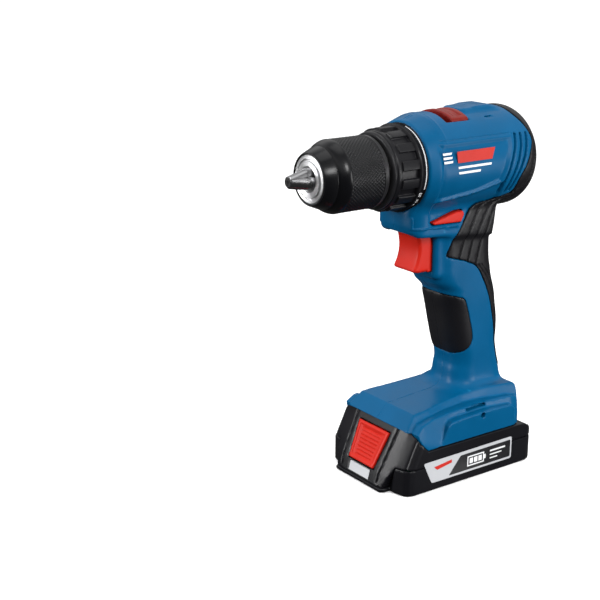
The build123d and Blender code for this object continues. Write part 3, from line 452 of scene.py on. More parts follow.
def screw_wells(s, field, radius):
    """The field with the wells that the housing's screws go into."""
    for place_y, place_z in SCREWS:
        hole = np.sqrt((s.y - place_y) ** 2 + (s.z - place_z) ** 2) - radius
        field = cut(field, overlap(hole, SCREW_DEPTH - s.x), 0.3)
    return field


def foot_openings(s, shell):
    """A strap slot and a round hole in the side of the foot."""
    spot = np.sqrt((s.y - 13.3) ** 2 + (s.z - 40.0) ** 2)
    strap = polygon(s.y, s.z, [(4.4, 42.6), (4.4, 44.6), (20.4, 45.2), (20.4, 43.2)])
    shell = cut(shell, overlap(spot - 1.7, 33.5 - s.x), 0.3)
    return cut(shell, overlap(strap, 27.8 - s.x), 0.2)


def rear_grooves(s, skin):
    """Grooves of the rear rubber: three over the web of the hand and two down the handle."""
    for rib in REAR_RIBS:
        skin = skin + 1.2 * band(stroke(s.y, s.z, curve(rib)), 0.35, 0.5)
    for shift in (3.0, 6.2):
        lane = [(20.5 + shift * 0.8, 131), (28 + shift, 121), (34.5 + shift, 108), (40 + shift, 90),
                (43.6 + shift, 74)]
        skin = skin + 0.9 * band(stroke(s.y, s.z, curve(lane)), 0.3, 0.5)
    return skin


def build_housing():
    """Both housing shells and the four rubber skins, as left halves; the right ones are reflected later."""
    s = Space((-1.2, -45.5, 25.5), (40, 63.5, 231), STEP)
    core = base_field(s)
    regions = {"rear": polygon(s.y, s.z, REAR_RUBBER), "front": polygon(s.y, s.z, FRONT_RUBBER)}
    slot = polygon(s.y, s.z, [(-18.9, 163.5), (-17, 161.2), (4.9, 160.7), (7.5, 165.7), (6.0, 168.6),
                              (0.2, 168.6)])
    shell = surface_detail(s, core)
    for region in regions.values():
        shell = cut(shell, overlap(region - SKIN_GAP, -(core + SKIN)), 0.3)
    shell = open_housing(s, shell, core, slot)
    right = s.mesh("right_half", screw_wells(s, shell, SCREW_HOLE))
    left = s.mesh("left_shell", foot_openings(s, shell))
    grips = {}
    for name, region in regions.items():
        skin = core - 0.3
        if name == "rear":
            skin = rear_grooves(s, skin)
        rubber = meet(overlap(skin, -(core + SKIN - 0.05)), region + SKIN_GAP, 0.7)
        rubber = meet(rubber, -SEAM - s.x, 0.1)
        if name == "rear":
            rubber = cut(rubber, slot - 0.3, 0.3)
        grips["left_" + name] = s.mesh(f"left_{name}_rubber", rubber)
        grips["right_" + name] = s.mesh(f"right_{name}_half", screw_wells(s, rubber, SCREW_HOLE + 0.1))
    return left, right, grips


left_shell, right_half, grips = build_housing()
right_shell = mirrored(right_half, "right_shell")
right_rear = mirrored(grips["right_rear"], "right_rear_rubber")
right_front = mirrored(grips["right_front"], "right_front_rubber")
for spare in (right_half, grips["right_rear"], grips["right_front"]):
    bpy.data.objects.remove(spare)

# ---------------- smaller moulded pieces

FINE = STEP * 0.62


def trigger_piece():
    """The trigger, with its front scooped out for a finger."""
    low, high = box_mm("trigger")
    s = Space((-12, low[1] - 3, low[2] - 2), (12, high[1] + 1, high[2] + 2), FINE)
    front = curve([(-21.6, 155.4), (-20.4, 152), (-19.4, 146.5), (-19.6, 141.5), (-21.0, 136.6),
                   (-22.7, 133.0), (-22.3, 131.2), (-19.2, 130.4)])
    rear, square = high[1] - 2.6, -12.5         # the pulled trigger stays clear of the switch
    side = polygon(s.y, s.z, front + [(rear, low[2]), (rear, high[2])])
    body = extrude_x(s.x, side, high[0], 2.2)
    # behind the finger the sides run square into the housing
    shank = polygon(s.y, s.z, [(square, low[2] - 1), (rear, low[2] - 1), (rear, high[2] + 1),
                               (square, high[2] + 1)])
    shank = extrude_x(s.x, shank, high[0], 0.5)
    return s.mesh("trigger_cap", np.minimum(body, overlap(shank, side)))


def reversing_piece():
    """The reversing slide's two ends, tapered to the front."""
    s = Space((-21.4, -20.8, 158.4), (21.4, 9.6, 170.8), FINE)
    side = polygon(s.y, s.z, [(-17.8, 163.4), (-16.4, 161.9), (4.4, 161.3), (6.7, 165.6), (5.6, 167.9),
                              (0.6, 167.9)])
    reach = across(s, [-19, -16, 0, 8], [19.2, 19.8, 20.3, 20.3])
    body = meet(side, np.abs(s.x) - reach, 0.9)
    # a collar inside the housing shuts the light gap around the slot
    collar = overlap(side - 1.8, np.abs(s.x) - 8)
    return s.mesh("reversing_slide_cap", np.minimum(body, collar))


def selector_piece():
    """The speed selector: a slab bent over the barrel with a hollowed top."""
    low, high = box_mm("speed_selector")
    s = Space((-18, low[1] - 2, 214), (18, high[1] + 2, 230), FINE)
    radius = np.sqrt(s.x ** 2 + (s.z - AXIS_Z) ** 2)
    middle = 4.5
    hollow = step_in(overlap(within(s.y, middle, 3.0), np.abs(s.x) - 12.5), 1.8)
    body = meet(selector_slab(s, 0), radius - (BARREL_R + 0.9 - 0.9 * hollow), 0.8)
    body = meet(body, overlap(BARREL_R - 7 - radius, 218.5 - s.z), 0.3)
    for rib in (-1.6, 1.6):
        body = body - 0.35 * band(s.y - middle - rib, 0.25, 0.6) * step_in(np.abs(s.x) - 11.5, 1)
    return s.mesh("speed_selector_cap", body)


# ---------------- battery pack

SLOPE_FOOT = np.array((-53.8, 11.4))
SLOPE_HEAD = np.array((-42.6, 34.6))
SLOPE_MID = (SLOPE_FOOT + SLOPE_HEAD) / 2
SLOPE_UP = (SLOPE_HEAD - SLOPE_FOOT) / np.linalg.norm(SLOPE_HEAD - SLOPE_FOOT)
SLOPE_OUT = np.array((-SLOPE_UP[1], SLOPE_UP[0]))
SPRING_SEAT = -7.5                # under the slope
PACK_SPLIT = 17.0                 # height of the seam between the pack's shells
BUTTON = [(-12.1, -12.3), (12.1, -12.3), (14.8, 12.3), (-14.8, 12.3)]


def slope_frame(s):
    """Position along the slope and height over it, of every sample."""
    along = (s.y - SLOPE_MID[0]) * SLOPE_UP[0] + (s.z - SLOPE_MID[1]) * SLOPE_UP[1]
    over = (s.y - SLOPE_MID[0]) * SLOPE_OUT[0] + (s.z - SLOPE_MID[1]) * SLOPE_OUT[1]
    return along, over


def button_outline(s, along):
    """Signed distance to the button's outline, in the plane of the slope."""
    return polygon(np.broadcast_to(s.x, (s.x.size, s.y.size, s.z.size)), along, BUTTON)


def button_piece():
    """The release button: a tapered pad with a rim and cross ribs, and the catch over it."""
    s = Space((-17, -62, 5), (17, -30, 42), FINE)
    along, over = slope_frame(s)
    outline = button_outline(s, along)
    rim = np.clip(-outline / 1.6, 0, 1)
    height = 0.7 + 0.2 * rim - 0.6 * step_in(outline + 2.4, 0.7)
    for rib in range(8):
        at = -8.4 + 2.4 * rib
        inside = step_in(np.abs(s.x) - (8.4 + 0.11 * at), 0.6)
        height = height - 0.8 * band(along - at, 0.2, 0.7) * inside
    pad = meet(outline + 0.15, overlap(over - height, -0.9 - over), 0.6)
    catch = polygon(s.y, s.z, [(-39.2, 30.6), (-39.2, 36.9), (-36.4, 36.9), (-36.4, 34.4), (-37.6, 33.4),
                               (-37.6, 30.6)])
    catch = meet(catch, np.abs(s.x) - 7, 0.4)
    return s.mesh("release_button_cap", np.minimum(pad, catch))


def tube_faces(rings, spokes):
    """Faces of a tube of that many rings of corners, closed at both ends."""
    faces = []
    for k in range(rings - 1):
        for e in range(spokes):
            a, b = spokes * k + e, spokes * k + (e + 1) % spokes
            faces.append((a, b, b + spokes, a + spokes))
    faces.append(tuple(reversed(range(spokes))))
    faces.append(tuple(spokes * (rings - 1) + e for e in range(spokes)))
    return faces


def release_coil():
    """The spring behind the release button, wound along the slope's normal; its seat and its axis too."""
    coil_r, wire_r, pitch, turns = 2.1, 0.4, 1.3, 3
    steps, spokes = 20, 10                      # a turn's rings, and a ring's corners
    out, side = Vector((0, *SLOPE_OUT)), Vector((1, 0, 0))
    other = out.cross(side)
    seat = Vector((0, *SLOPE_MID)) + 3.0 * Vector((0, *SLOPE_UP)) + SPRING_SEAT * out
    verts = []
    for k in range(steps * turns + 1):
        turn = 2 * math.pi * k / steps
        radial = math.cos(turn) * side + math.sin(turn) * other
        centre = seat + coil_r * radial + (pitch * k / steps) * out
        for e in range(spokes):
            lean = 2 * math.pi * e / spokes
            verts.append((centre + wire_r * (math.cos(lean) * radial + math.sin(lean) * out)) * MM)
    mesh = outward_mesh("release_coil", verts, tube_faces(steps * turns + 1, spokes))
    mesh.shade_smooth()
    return linked("release_coil", mesh), seat, out


NOSE_SPREAD = 0.38                # how much the nose panel widens with height


def nose_half_width(s):
    """Half width of the nose panel at each height."""
    return 22.4 + np.clip(s.z - 3, 0, 20) * NOSE_SPREAD


def leaning_front(s):
    """The sloping front of the nose, and the shoulders that lean back with it."""
    heights = s.z.ravel()
    front = np.interp(heights, [0, 3, 11.4, 17, 37.6], [-56.6, -56.0, -53.8, -51.1, -41.1])
    bend = np.interp(np.abs(s.x.ravel()), [0, 17.4, 20, 28, 33.5, 36.5, 38],
                     [0, 0.0, 0.5, 1.9, 3.7, 5.8, 9.2])
    front, bend = front.astype(np.float32), bend.astype(np.float32)
    return (front[None, None, :] + bend[:, None, None] - s.y) * 0.9


def pack_deck(s):
    """The raised deck with its rails that slides into the foot."""
    x, y, z = np.abs(s.x), s.y, s.z
    deck = overlap(x - 33.8, within(y, 4.6, 40.6), z - 31, 20 - z)
    deck = np.minimum(deck, overlap(x - 22, np.abs(y + 0.3) - 38.7, z - 37.6, 25 - z))
    return np.minimum(deck, overlap(x - 26, np.abs(y + 0.3) - 38.7, z - 37.6, 34 - z))


def nose_grooves(s, upper, side, along):
    """Grooves beside the latch panel and down the two corners of the nose."""
    panel = np.abs(side - (18.9 + 0.075 * along))
    upper = upper + 0.9 * band(panel, 0.4, 0.5) * step_in(s.y + 38, 1) * step_in(5 - s.z, 1)
    centre = s.y + 41.5 - (s.z - 17) * 0.4828 * (s.z > 17)
    corner = np.degrees(np.arctan2(-centre, np.maximum(side - 32.0, 0.01)))
    for at in (62, 30):
        upper = upper + 0.7 * band(corner - at, 3.2, 3) * step_in(s.y + 30, 2) * step_in(16.5 - s.z, 0.5)
    return upper


def pack_upper(s, plan, side):
    """Upper shell: nose, deck, button pocket, contact slots and hollow."""
    x, y, z = s.x, s.y, s.z
    along, over = slope_frame(s)
    lean = leaning_front(s)
    rear_deck = polygon(y, z, [(-70, 17), (48.6, 17), (60, 17), (57.6, 19.4), (54.4, 23.8), (49.2, 26.6),
                               (44, 27), (-31.2, 27), (-36.6, 32.4), (-38.6, 38.2), (-42, 38.2), (-70, 38.2)])
    nose_side = polygon(y, z, [(-70, 3.1), (-46.5, 3.1), (-46.5, 17), (-36.6, 17), (-36.6, 32.4),
                               (-38.6, 38.2), (-70, 38.2)])
    nose = meet(meet(lean, side - nose_half_width(s), 0.5), nose_side, 0.4)
    upper = meet(meet(plan, rear_deck, 0.6), lean, 0.6)
    upper = np.minimum(np.minimum(upper, nose), pack_deck(s))
    upper = nose_grooves(s, upper, side, along)
    upper = cut(upper, overlap(button_outline(s, along) - 0.45, -5 - over), 0.3)
    upper = cut(upper, overlap(np.abs(x) - 7.4, np.abs(y + 34.8) - 5.0, 27 - z), 0.2)
    tray = overlap(np.abs(x) - 9.8, within(z, 7.6, 3.0), y + 44)
    upper = cut(upper, overlap(tray, -(lean + 1.4)), 0.2)
    for at in (-12, -4, 4, 12):
        upper = cut(upper, overlap(within(x, at, 1.6), 20 - y, y - 39.2, 28.5 - z), 0.15)
    upper = cut(upper, overlap(np.abs(x) - 34, within(y, 4, 46), within(z, 13, 12)), 0.2)
    # it ends over the lower shell, but for the nose panel, which reaches down in front of it
    height = np.where(side < nose_half_width(s), np.where(y < -46, 99, z), z)
    return meet(upper, PACK_SPLIT + 0.15 - height, 0.3)


def pack_lower(s, plan, side):
    """Lower shell: a tray with a lip under the nose."""
    x, y, z = s.x, s.y, s.z
    lip = polygon(side, y, [(-5, -56.4), (21.8, -56.4), (23.6, -53.4), (24.2, -46), (-5, -46)])
    lip = meet(meet(lip, z - 2.9, 0.5), -1 - z, 0.3)
    lower = np.minimum(meet(plan, z - (PACK_SPLIT - 0.1), 0.5), lip)
    lower = meet(lower, -z + 0.0, 1.9)
    lower = cut(lower, overlap(side - nose_half_width(s) - 0.35, y + 46, 3.0 - z), 0.2)
    return cut(lower, overlap(np.abs(x) - 36, within(y, 4.6, 50), 2.2 - z), 0.3)


def pack_pieces():
    """Lower and upper shells of the battery pack."""
    s = Space((-39.6, -60, -1.5), (39.6, 59.5, 40), STEP)
    side = np.broadcast_to(np.abs(s.x), (s.x.size, s.y.size, 1))
    plan = polygon(side, s.y, [(-5, -49.6), (27.6, -49.4), (34.4, -47.7), (37.0, -45.4), (38, -41.6),
                               (38, 51.8), (36.2, 55.6), (32.2, 57.5), (-5, 57.5)])
    lower, upper = pack_lower(s, plan, side), pack_upper(s, plan, side)
    return s.mesh("battery_lower_case", lower), s.mesh("battery_upper_case", upper)


trigger_cap = trigger_piece()
reversing_cap = reversing_piece()
selector_cap = selector_piece()
button_cap = button_piece()
lower_case, upper_case = pack_pieces()


# ---------------- collar and chuck sleeve


def around(r, y, angle):
    """The corner at that radius and angle about the spindle axis, in metres."""
    return r * math.cos(angle) * MM, y * MM, (AXIS_Z + r * math.sin(angle)) * MM


def lathe(name, profile, turns, relief):
    """A closed turned ring from a loop of (y, radius) points; relief(y, r, angle) moves radii."""
    verts, faces = [], []
    count = len(profile)
    for y, r in profile:
        for j in range(turns):
            angle = 2 * math.pi * j / turns
            verts.append(around(r + relief(y, r, angle), y, angle))
    for i in range(count):
        for j in range(turns):
            a, b = i * turns + j, i * turns + (j + 1) % turns
            c, d = ((i + 1) % count) * turns + (j + 1) % turns, ((i + 1) % count) * turns + j
            faces.append((a, b, c, d))
    mesh = outward_mesh(name, verts, faces)
    mesh.shade_smooth()
    return linked(name, mesh)


KNURL_FRONT, KNURL_REAR = -79.0, -55.1
KNURL_TURNS = 64                  # diamonds around the sleeve
KNURL_SLANT = 2.6
KNURL_DEPTH = 0.65


def knurl(y, r, angle):
    """Diamond knurl cut into the outside of the sleeve."""
    if r < SLEEVE_R - 0.05 or not KNURL_FRONT <= y <= KNURL_REAR:
        return 0.0
    fade = min(1.0, (y - KNURL_FRONT) / 0.5, (KNURL_REAR - y) / 0.5)
    phases = [KNURL_TURNS * angle + slant * (y - KNURL_FRONT) for slant in (KNURL_SLANT, -KNURL_SLANT)]
    ridge = min(abs(((phase / (2 * math.pi)) % 1) - 0.5) * 2 for phase in phases)
    return -KNURL_DEPTH * fade * (1 - ridge) ** 1.2


def sleeve_piece():
    """The chuck's sleeve: a stepped cone, then the knurled grip."""
    rows = 78
    grip = [(KNURL_FRONT + (KNURL_REAR - KNURL_FRONT) * k / rows, SLEEVE_R) for k in range(rows + 1)]
    cone = [(-94.0, 14.3), (-94.1, 14.8), (-93.7, 15.2), (-93.0, 15.6), (-86.7, 18.15), (-86.45, 18.2),
            (-86.25, 17.85), (-85.95, 17.85), (-85.75, 18.3), (-84.4, 19.3), (-82.6, 20.45), (-81.2, 21.05),
            (-80.0, 21.4), (-79.3, 21.5)]
    inside = [(-54.9, 21.3), (-54.8, 20.9), (-54.8, 19.4), (-79.0, 19.4), (-79.1, 19.2), (-85.0, 18.0),
              (-85.2, 14.3)]
    return lathe("sleeve_shell", cone + grip + inside, 576, knurl)


LUGS = 14
LUG_PITCH = 360 / LUGS
LUG_START = 7.0
LUG_WIDTH = 13.2                  # in degrees
TEETH_FRONT, TEETH_REAR, COLLAR_STEP = -45.0, -33.4, -32.4


def collar_relief(y, r, angle):
    """Castellated finger ring: teeth reach forward from a raised band."""
    if r < 21.5 or y > COLLAR_STEP or y < TEETH_FRONT - 1:
        return 0.0
    place = (math.degrees(angle) - LUG_START) % LUG_PITCH
    side = max(-place, place - LUG_WIDTH)
    if place > (LUG_PITCH + LUG_WIDTH) / 2:
        side = LUG_PITCH - place
    tooth = min(1.0, max(0.0, 0.5 - side / 0.9))
    if y > TEETH_REAR:
        tooth = max(tooth, min(1.0, (y - TEETH_REAR) / 0.4))
    ends = min(1.0, max(0.0, (y - TEETH_FRONT) / 0.4))
    return (1.85 * tooth - 0.5) * ends


def collar_piece():
    """The torque collar, with close rows where its teeth begin and end."""
    front = [(-50.5, 16.2), (-50.5, 22.0), (-50.2, 22.6), (-49.4, 22.9), (-48.6, 23.0), (-48.3, 22.7),
             (-47.9, 22.7), (-47.7, 23.1), (-46.5, 23.3)]
    teeth = [(-45.6 + 0.2 * k, 23.35) for k in range(8)]
    teeth += [(-43.5 + 0.9 * k, 23.4 + 0.01 * k) for k in range(11)]
    teeth += [(y, 23.5) for y in (-33.9, -33.6, -33.4, -33.2, -33.0)]
    scale = [(-32.8, 23.6), (-32.4, 25.0), (-31.0, 25.15), (-28.9, 25.3), (-28.4, 25.0)]
    inside = [(-28.4, 20.5), (-47.8, 20.5), (-47.8, 16.2)]
    return lathe("collar_shell", front + teeth + scale + inside, 840, collar_relief)


def arc_band(name, front, rear, radius, start, stop, thick):
    """A thin raised strip lying on a cylinder about the spindle axis, between two angles in degrees."""
    verts = []
    count = max(4, int(abs(stop - start) / 2))
    for k in range(count + 1):
        angle = math.radians(start + (stop - start) * k / count)
        for y, r in ((front, radius), (front, radius + thick), (rear, radius + thick), (rear, radius)):
            verts.append(around(r, y, angle))
    return linked(name, outward_mesh(name, verts, tube_faces(count + 1, 4)))


def figure(text, size):
    """Outline of a number as a thin slab, centred, in the x, y plane, in millimetres."""
    curve_data = bpy.data.curves.new("figure", "FONT")
    curve_data.body = text
    curve_data.size = size
    curve_data.align_x = "CENTER"
    curve_data.align_y = "CENTER"
    curve_data.offset = 0.012 * size
    holder = linked("figure", curve_data)
    bpy.context.view_layer.update()
    mesh = bpy.data.meshes.new_from_object(holder.evaluated_get(bpy.context.evaluated_depsgraph_get()))
    bpy.data.objects.remove(holder)
    bm = bmesh.new()
    bm.from_mesh(mesh)
    bmesh.ops.triangulate(bm, faces=bm.faces)
    thicken(bm, bm.faces[:], (0, 0, 1))
    bm.to_mesh(mesh)
    bm.free()
    return mesh


SCALE_R = 25.0                    # the numbers lie on this radius
SCALE_MIDDLE = -30.4
SCALE_PITCH = 11.6                # degrees from number to number


def scale_marks():
    """The collar's numbers, 20 down to 1, and the fine ring behind them."""
    marks = [arc_band("ring", -28.9, -28.25, SCALE_R + 0.1, -22, 78, 0.32)]
    for number in range(20):
        mesh = figure(str(20 - number), 3.4)
        for vert in mesh.vertices:
            across_ring, up_ring, out = vert.co
            turn = math.radians(-31 - SCALE_PITCH * number) + across_ring / (SCALE_R + 0.2)
            vert.co = around(SCALE_R + 0.28 * out, SCALE_MIDDLE + up_ring, turn)
        marks.append(linked("mark", mesh))
    return joined("collar_marks", marks)


sleeve_shell = sleeve_piece()
collar_shell = collar_piece()
collar_marks = scale_marks()

# ---------------- flat printed decals


def slab_yz(points, at, thick, side=1):
    """A plate in the side plane from its (y, z) corners, drawn out along x."""
    bm = bmesh.new()
    verts = [bm.verts.new((side * at * MM, y * MM, z * MM)) for y, z in points]
    thicken(bm, [bm.faces.new(verts)], (side * thick * MM, 0, 0))
    mesh = bpy.data.meshes.new("plate")
    bm.to_mesh(mesh)
    bm.free()
    return linked("plate", mesh)


def rounded_outline(points, corner, per=5):
    """Corners of a convex outline rounded off."""
    out = []
    pts = [np.array(p, float) for p in points]
    for before, here, after in zip(pts[-1:] + pts[:-1], pts, pts[1:] + pts[:1]):
        a = here + (before - here) / np.linalg.norm(before - here) * corner
        b = here + (after - here) / np.linalg.norm(after - here) * corner
        for k in range(per + 1):
            t = k / per
            out.append(tuple((1 - t) ** 2 * a + 2 * t * (1 - t) * here + t * t * b))
    return out


def bar(front, rear, bottom, top, lean=0.0):
    """Corners of an upright bar, the lower front and the upper rear one set back by lean."""
    return [(front, top), (front + lean, bottom), (rear, bottom), (rear + lean, top)]


BATTERY_SIDE = box_mm("battery_lower_shell")[1][0]
SILVER = rounded_outline([(-35.2, 19.9), (-28.4, 5.6), (38.2, 5.6), (38.2, 20.4)], 1.6)
BLACK_FIELD = rounded_outline([(-5.2, 18.0), (-14.6, 7.0), (37.0, 7.0), (37.0, 18.4)], 0.8)
RED_DASH = [(-26.8, 15.8), (-24.2, 13.4), (-12.4, 15.3), (-12.4, 17.4)]
NOSE_PLATE = [(-55.58, 4.6), (-54.12, 10.2), (-53.12, 10.2), (-54.58, 4.6)]
# a cell's outline and terminal, three charge bars, and three lines beside it
PICTOGRAM = [bar(0.5, 14.5, 15.1, 15.9), bar(0.5, 14.5, 9.1, 9.9), bar(0.5, 1.3, 9.9, 15.1),
             bar(13.7, 14.5, 9.9, 15.1), bar(14.5, 15.9, 11.1, 13.9)]
PICTOGRAM += [bar(front, front + 2.8, 10.8, 14.2) for front in (2.4, 6.1, 9.8)]
PICTOGRAM += [bar(19.5, 32.5, 14.5, 15.6), bar(19.5, 29.5, 12.1, 12.9), bar(19.5, 26.0, 9.7, 10.5)]
PANEL_AT = BARREL_R - PANEL_DEPTH - 0.06
PANEL_RED = [(-9.6, 206.4), (-8.4, 199.6), (18.6, 199.6), (20.4, 206.4)]
PANEL_LINES = [bar(front, rear, top - 1.3, top, 0.3) for top, front, rear in (
    (206.4, -20.5, -13.8), (203.9, -19.9, -13.2), (201.4, -19.3, -12.6), (197.4, -8.0, 18.0),
    (194.2, -7.4, 9.5))]


def printed(name, outlines, at, thick, extra=()):
    """Plates of those outlines on both sides of the drill, as one piece."""
    plates = [slab_yz(outline, at, thick, side) for side in (1, -1) for outline in outlines]
    return joined(name, plates + list(extra))


nose_plate = slab_yz(NOSE_PLATE, -9.6, 19.2)
label_silver = printed("label_silver", [SILVER], BATTERY_SIDE - 0.02, 0.16, [nose_plate])
label_black = printed("label_black", [BLACK_FIELD], BATTERY_SIDE + 0.1, 0.1)
label_white = printed("label_white", PICTOGRAM, BATTERY_SIDE + 0.19, 0.06)
label_red = printed("label_red", [RED_DASH], BATTERY_SIDE + 0.13, 0.08)
panel_red = printed("panel_red_bar", [PANEL_RED], PANEL_AT, 0.14)
panel_white = printed("panel_white_bar", PANEL_LINES, PANEL_AT, 0.14)
release_spring_coil, coil_seat, coil_axis = release_coil()

# ---------------- what rides on what, and what it stands for

PIECES = (
    (left_shell, "housing", ("left_housing",), "blue_plastic"),
    (right_shell, "housing", ("right_housing",), "blue_plastic"),
    (grips["left_rear"], "housing", ("left_rear_grip",), "black_rubber"),
    (right_rear, "housing", ("right_rear_grip",), "black_rubber"),
    (grips["left_front"], "housing", ("left_front_grip",), "black_rubber"),
    (right_front, "housing", ("right_front_grip",), "black_rubber"),
    (panel_red, "housing", (), "red_plastic"),
    (panel_white, "housing", (), "label_film"),
    (trigger_cap, "trigger", ("trigger",), "red_plastic"),
    (reversing_cap, "reversing_slide", ("direction_selector",), "red_plastic"),
    (selector_cap, "shifter", ("speed_selector",), "red_plastic"),
    (button_cap, "release", ("release_button",), "red_plastic"),
    (lower_case, "battery", ("battery_lower_shell",), "grey_plastic"),
    (upper_case, "battery", ("battery_upper_shell",), "grey_plastic"),
    (label_silver, "battery", ("battery_labels",), "label_film"),
    (label_black, "battery", (), "black_plastic"),
    (label_white, "battery", (), "label_film"),
    (label_red, "battery", (), "red_plastic"),
    (collar_shell, "collar", ("torque_collar",), "black_plastic"),
    (collar_marks, "collar", (), "label_film"),
    (sleeve_shell, "sleeve", ("chuck_sleeve",), "black_plastic"),
    (release_spring_coil, "battery", ("release_spring",), "steel"),
)
for piece, body, nodes, slot in PIECES:
    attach(piece, body)
    if nodes:
        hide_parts(*nodes)
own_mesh(release_spring_coil)

# ---------------- materials


def noise(nodes, links, vector, scale, detail):
    """A noise texture of that scale, read at the given vector."""
    texture = nodes.new("ShaderNodeTexNoise")
    texture.inputs["Scale"].default_value = scale
    texture.inputs["Detail"].default_value = detail
    links.new(vector, texture.inputs["Vector"])
    return texture.outputs["Fac"]


def ranged(nodes, links, value, low, high, start=0.0, stop=1.0):
    """The value carried from start..stop to low..high."""
    node = nodes.new("ShaderNodeMapRange")
    node.inputs["From Min"].default_value = start
    node.inputs["From Max"].default_value = stop
    node.inputs["To Min"].default_value = low
    node.inputs["To Max"].default_value = high
    links.new(value, node.inputs["Value"])
    return node.outputs["Result"]


def mixed(nodes, links, factor, a, b):
    """Colour between a (a colour or a socket) and the colour b."""
    node = nodes.new("ShaderNodeMix")
    node.data_type = "RGBA"
    links.new(factor, node.inputs["Factor"])
    if isinstance(a, tuple):
        node.inputs["A"].default_value = (*a, 1)
    else:
        links.new(a, node.inputs["A"])
    node.inputs["B"].default_value = (*b, 1)
    return node.outputs["Result"]


def turned_rings(nodes, links, place, scale):
    """Fine rings about the spindle axis."""
    split = nodes.new("ShaderNodeSeparateXYZ")
    links.new(place, split.inputs["Vector"])
    raised = nodes.new("ShaderNodeMath")
    raised.operation = "SUBTRACT"
    links.new(split.outputs["Z"], raised.inputs[0])
    raised.inputs[1].default_value = AXIS_Z * MM
    radial = nodes.new("ShaderNodeCombineXYZ")
    links.new(split.outputs["X"], radial.inputs["X"])
    links.new(raised.outputs["Value"], radial.inputs["Y"])
    length = nodes.new("ShaderNodeVectorMath")
    length.operation = "LENGTH"
    links.new(radial.outputs["Vector"], length.inputs[0])
    waves = nodes.new("ShaderNodeTexWave")
    waves.inputs["Scale"].default_value = scale
    waves.inputs["Distortion"].default_value = 0.0
    stretched = nodes.new("ShaderNodeCombineXYZ")
    links.new(length.outputs["Value"], stretched.inputs["X"])
    links.new(stretched.outputs["Vector"], waves.inputs["Vector"])
    return waves.outputs["Fac"]


def material(name, colour, rough, metal=0.0, shine=0.25, grain=0.3, grain_scale=2200.0, spread=0.08, edge_wear_and_highlight=0.0,
             rings=0.0, edge=None, glow=0.0):
    """A procedural finish: colour drift, convex edges lightened for edge wear and a painted highlight, uneven
    roughness, and fine grain or turned rings.
    """
    mat = bpy.data.materials.new(name)
    mat.use_nodes = True
    nodes, links = mat.node_tree.nodes, mat.node_tree.links
    shader = nodes["Principled BSDF"]
    shader.inputs["Metallic"].default_value = metal
    shader.inputs["Specular IOR Level"].default_value = shine
    if glow:
        shader.inputs["Emission Color"].default_value = (1, 1, 1, 1)
        shader.inputs["Emission Strength"].default_value = glow
    place = nodes.new("ShaderNodeTexCoord").outputs["Object"]
    slow = noise(nodes, links, place, 38.0, 5.0)
    darker = tuple(c * (1 - spread) for c in colour)
    lighter = tuple(min(1.0, c * (1 + spread)) for c in colour)
    shade = mixed(nodes, links, ranged(nodes, links, slow, 0.0, 1.0, 0.3, 0.7), darker, lighter)
    # convex edges, found by pointiness, are mixed toward a lighter colour: partly edge wear, partly a painted
    # highlight along the edges
    if edge_wear_and_highlight:
        pointed = nodes.new("ShaderNodeNewGeometry").outputs["Pointiness"]
        edge_wear_and_highlight_mask = nodes.new("ShaderNodeMath")
        edge_wear_and_highlight_mask.operation = "MULTIPLY"
        links.new(ranged(nodes, links, pointed, 0.0, edge_wear_and_highlight, 0.52, 0.58), edge_wear_and_highlight_mask.inputs[0])
        links.new(ranged(nodes, links, slow, 0.2, 1.0, 0.35, 0.65), edge_wear_and_highlight_mask.inputs[1])
        pale = edge or tuple(0.5 * c + 0.30 for c in colour)
        shade = mixed(nodes, links, edge_wear_and_highlight_mask.outputs["Value"], shade, pale)
    links.new(shade, shader.inputs["Base Color"])
    uneven = ranged(nodes, links, slow, rough * 0.85, min(1.0, rough * 1.15), 0.3, 0.7)
    links.new(uneven, shader.inputs["Roughness"])
    bump = nodes.new("ShaderNodeBump")
    bump.inputs["Strength"].default_value = grain
    bump.inputs["Distance"].default_value = 0.00012
    if rings:
        height = turned_rings(nodes, links, place, rings)
    else:
        height = noise(nodes, links, place, grain_scale, 3.0)
    links.new(height, bump.inputs["Height"])
    links.new(bump.outputs["Normal"], shader.inputs["Normal"])
    return mat


# the lightening of edges and knurl crests in these finishes is partly wear and partly painted highlight; the
# blue's edge colour is a lighter blue that paints its edge highlights
BLUE = material("blue_moulding", (0.0, 0.075, 0.183), 0.34, shine=0.10, grain=0.16, edge_wear_and_highlight=0.5,
                edge=(0.010, 0.20, 0.38))
RUBBER = material("black_rubber", (0.0042, 0.0040, 0.0054), 0.46, shine=0.24, grain=0.3, grain_scale=1600.0,
                  edge_wear_and_highlight=0.06)
RED = material("red_moulding", (0.47, 0.014, 0.0065), 0.38, shine=0.12, grain=0.2, edge_wear_and_highlight=0.05)
DULL_RED = material("selector_moulding", (0.15, 0.007, 0.004), 0.34, shine=0.15, grain=0.15, edge_wear_and_highlight=0.05)
BLACK = material("black_moulding", (0.0052, 0.0052, 0.0066), 0.32, shine=0.15, grain=0.2, edge_wear_and_highlight=0.10)
SLEEVE = material("sleeve_moulding", (0.0032, 0.0033, 0.0042), 0.24, shine=0.18, grain=0.1, edge_wear_and_highlight=0.05)
GREY = material("pack_moulding", (0.0050, 0.0050, 0.0066), 0.33, shine=0.2, grain=0.25, edge_wear_and_highlight=0.08)
STEEL = material("machined_steel", (0.60, 0.60, 0.61), 0.26, metal=1.0, grain=0.08)
FACE = material("turned_steel", (0.60, 0.60, 0.61), 0.34, metal=1.0, grain=0.5, rings=700.0)
JAWS = material("hardened_steel", (0.21, 0.21, 0.215), 0.24, metal=1.0, grain=0.06)
COPPER = material("copper", (0.75, 0.36, 0.2), 0.32, metal=1.0, grain=0.1)
MAGNET = material("ferrite", (0.05, 0.05, 0.055), 0.6, grain=0.4)
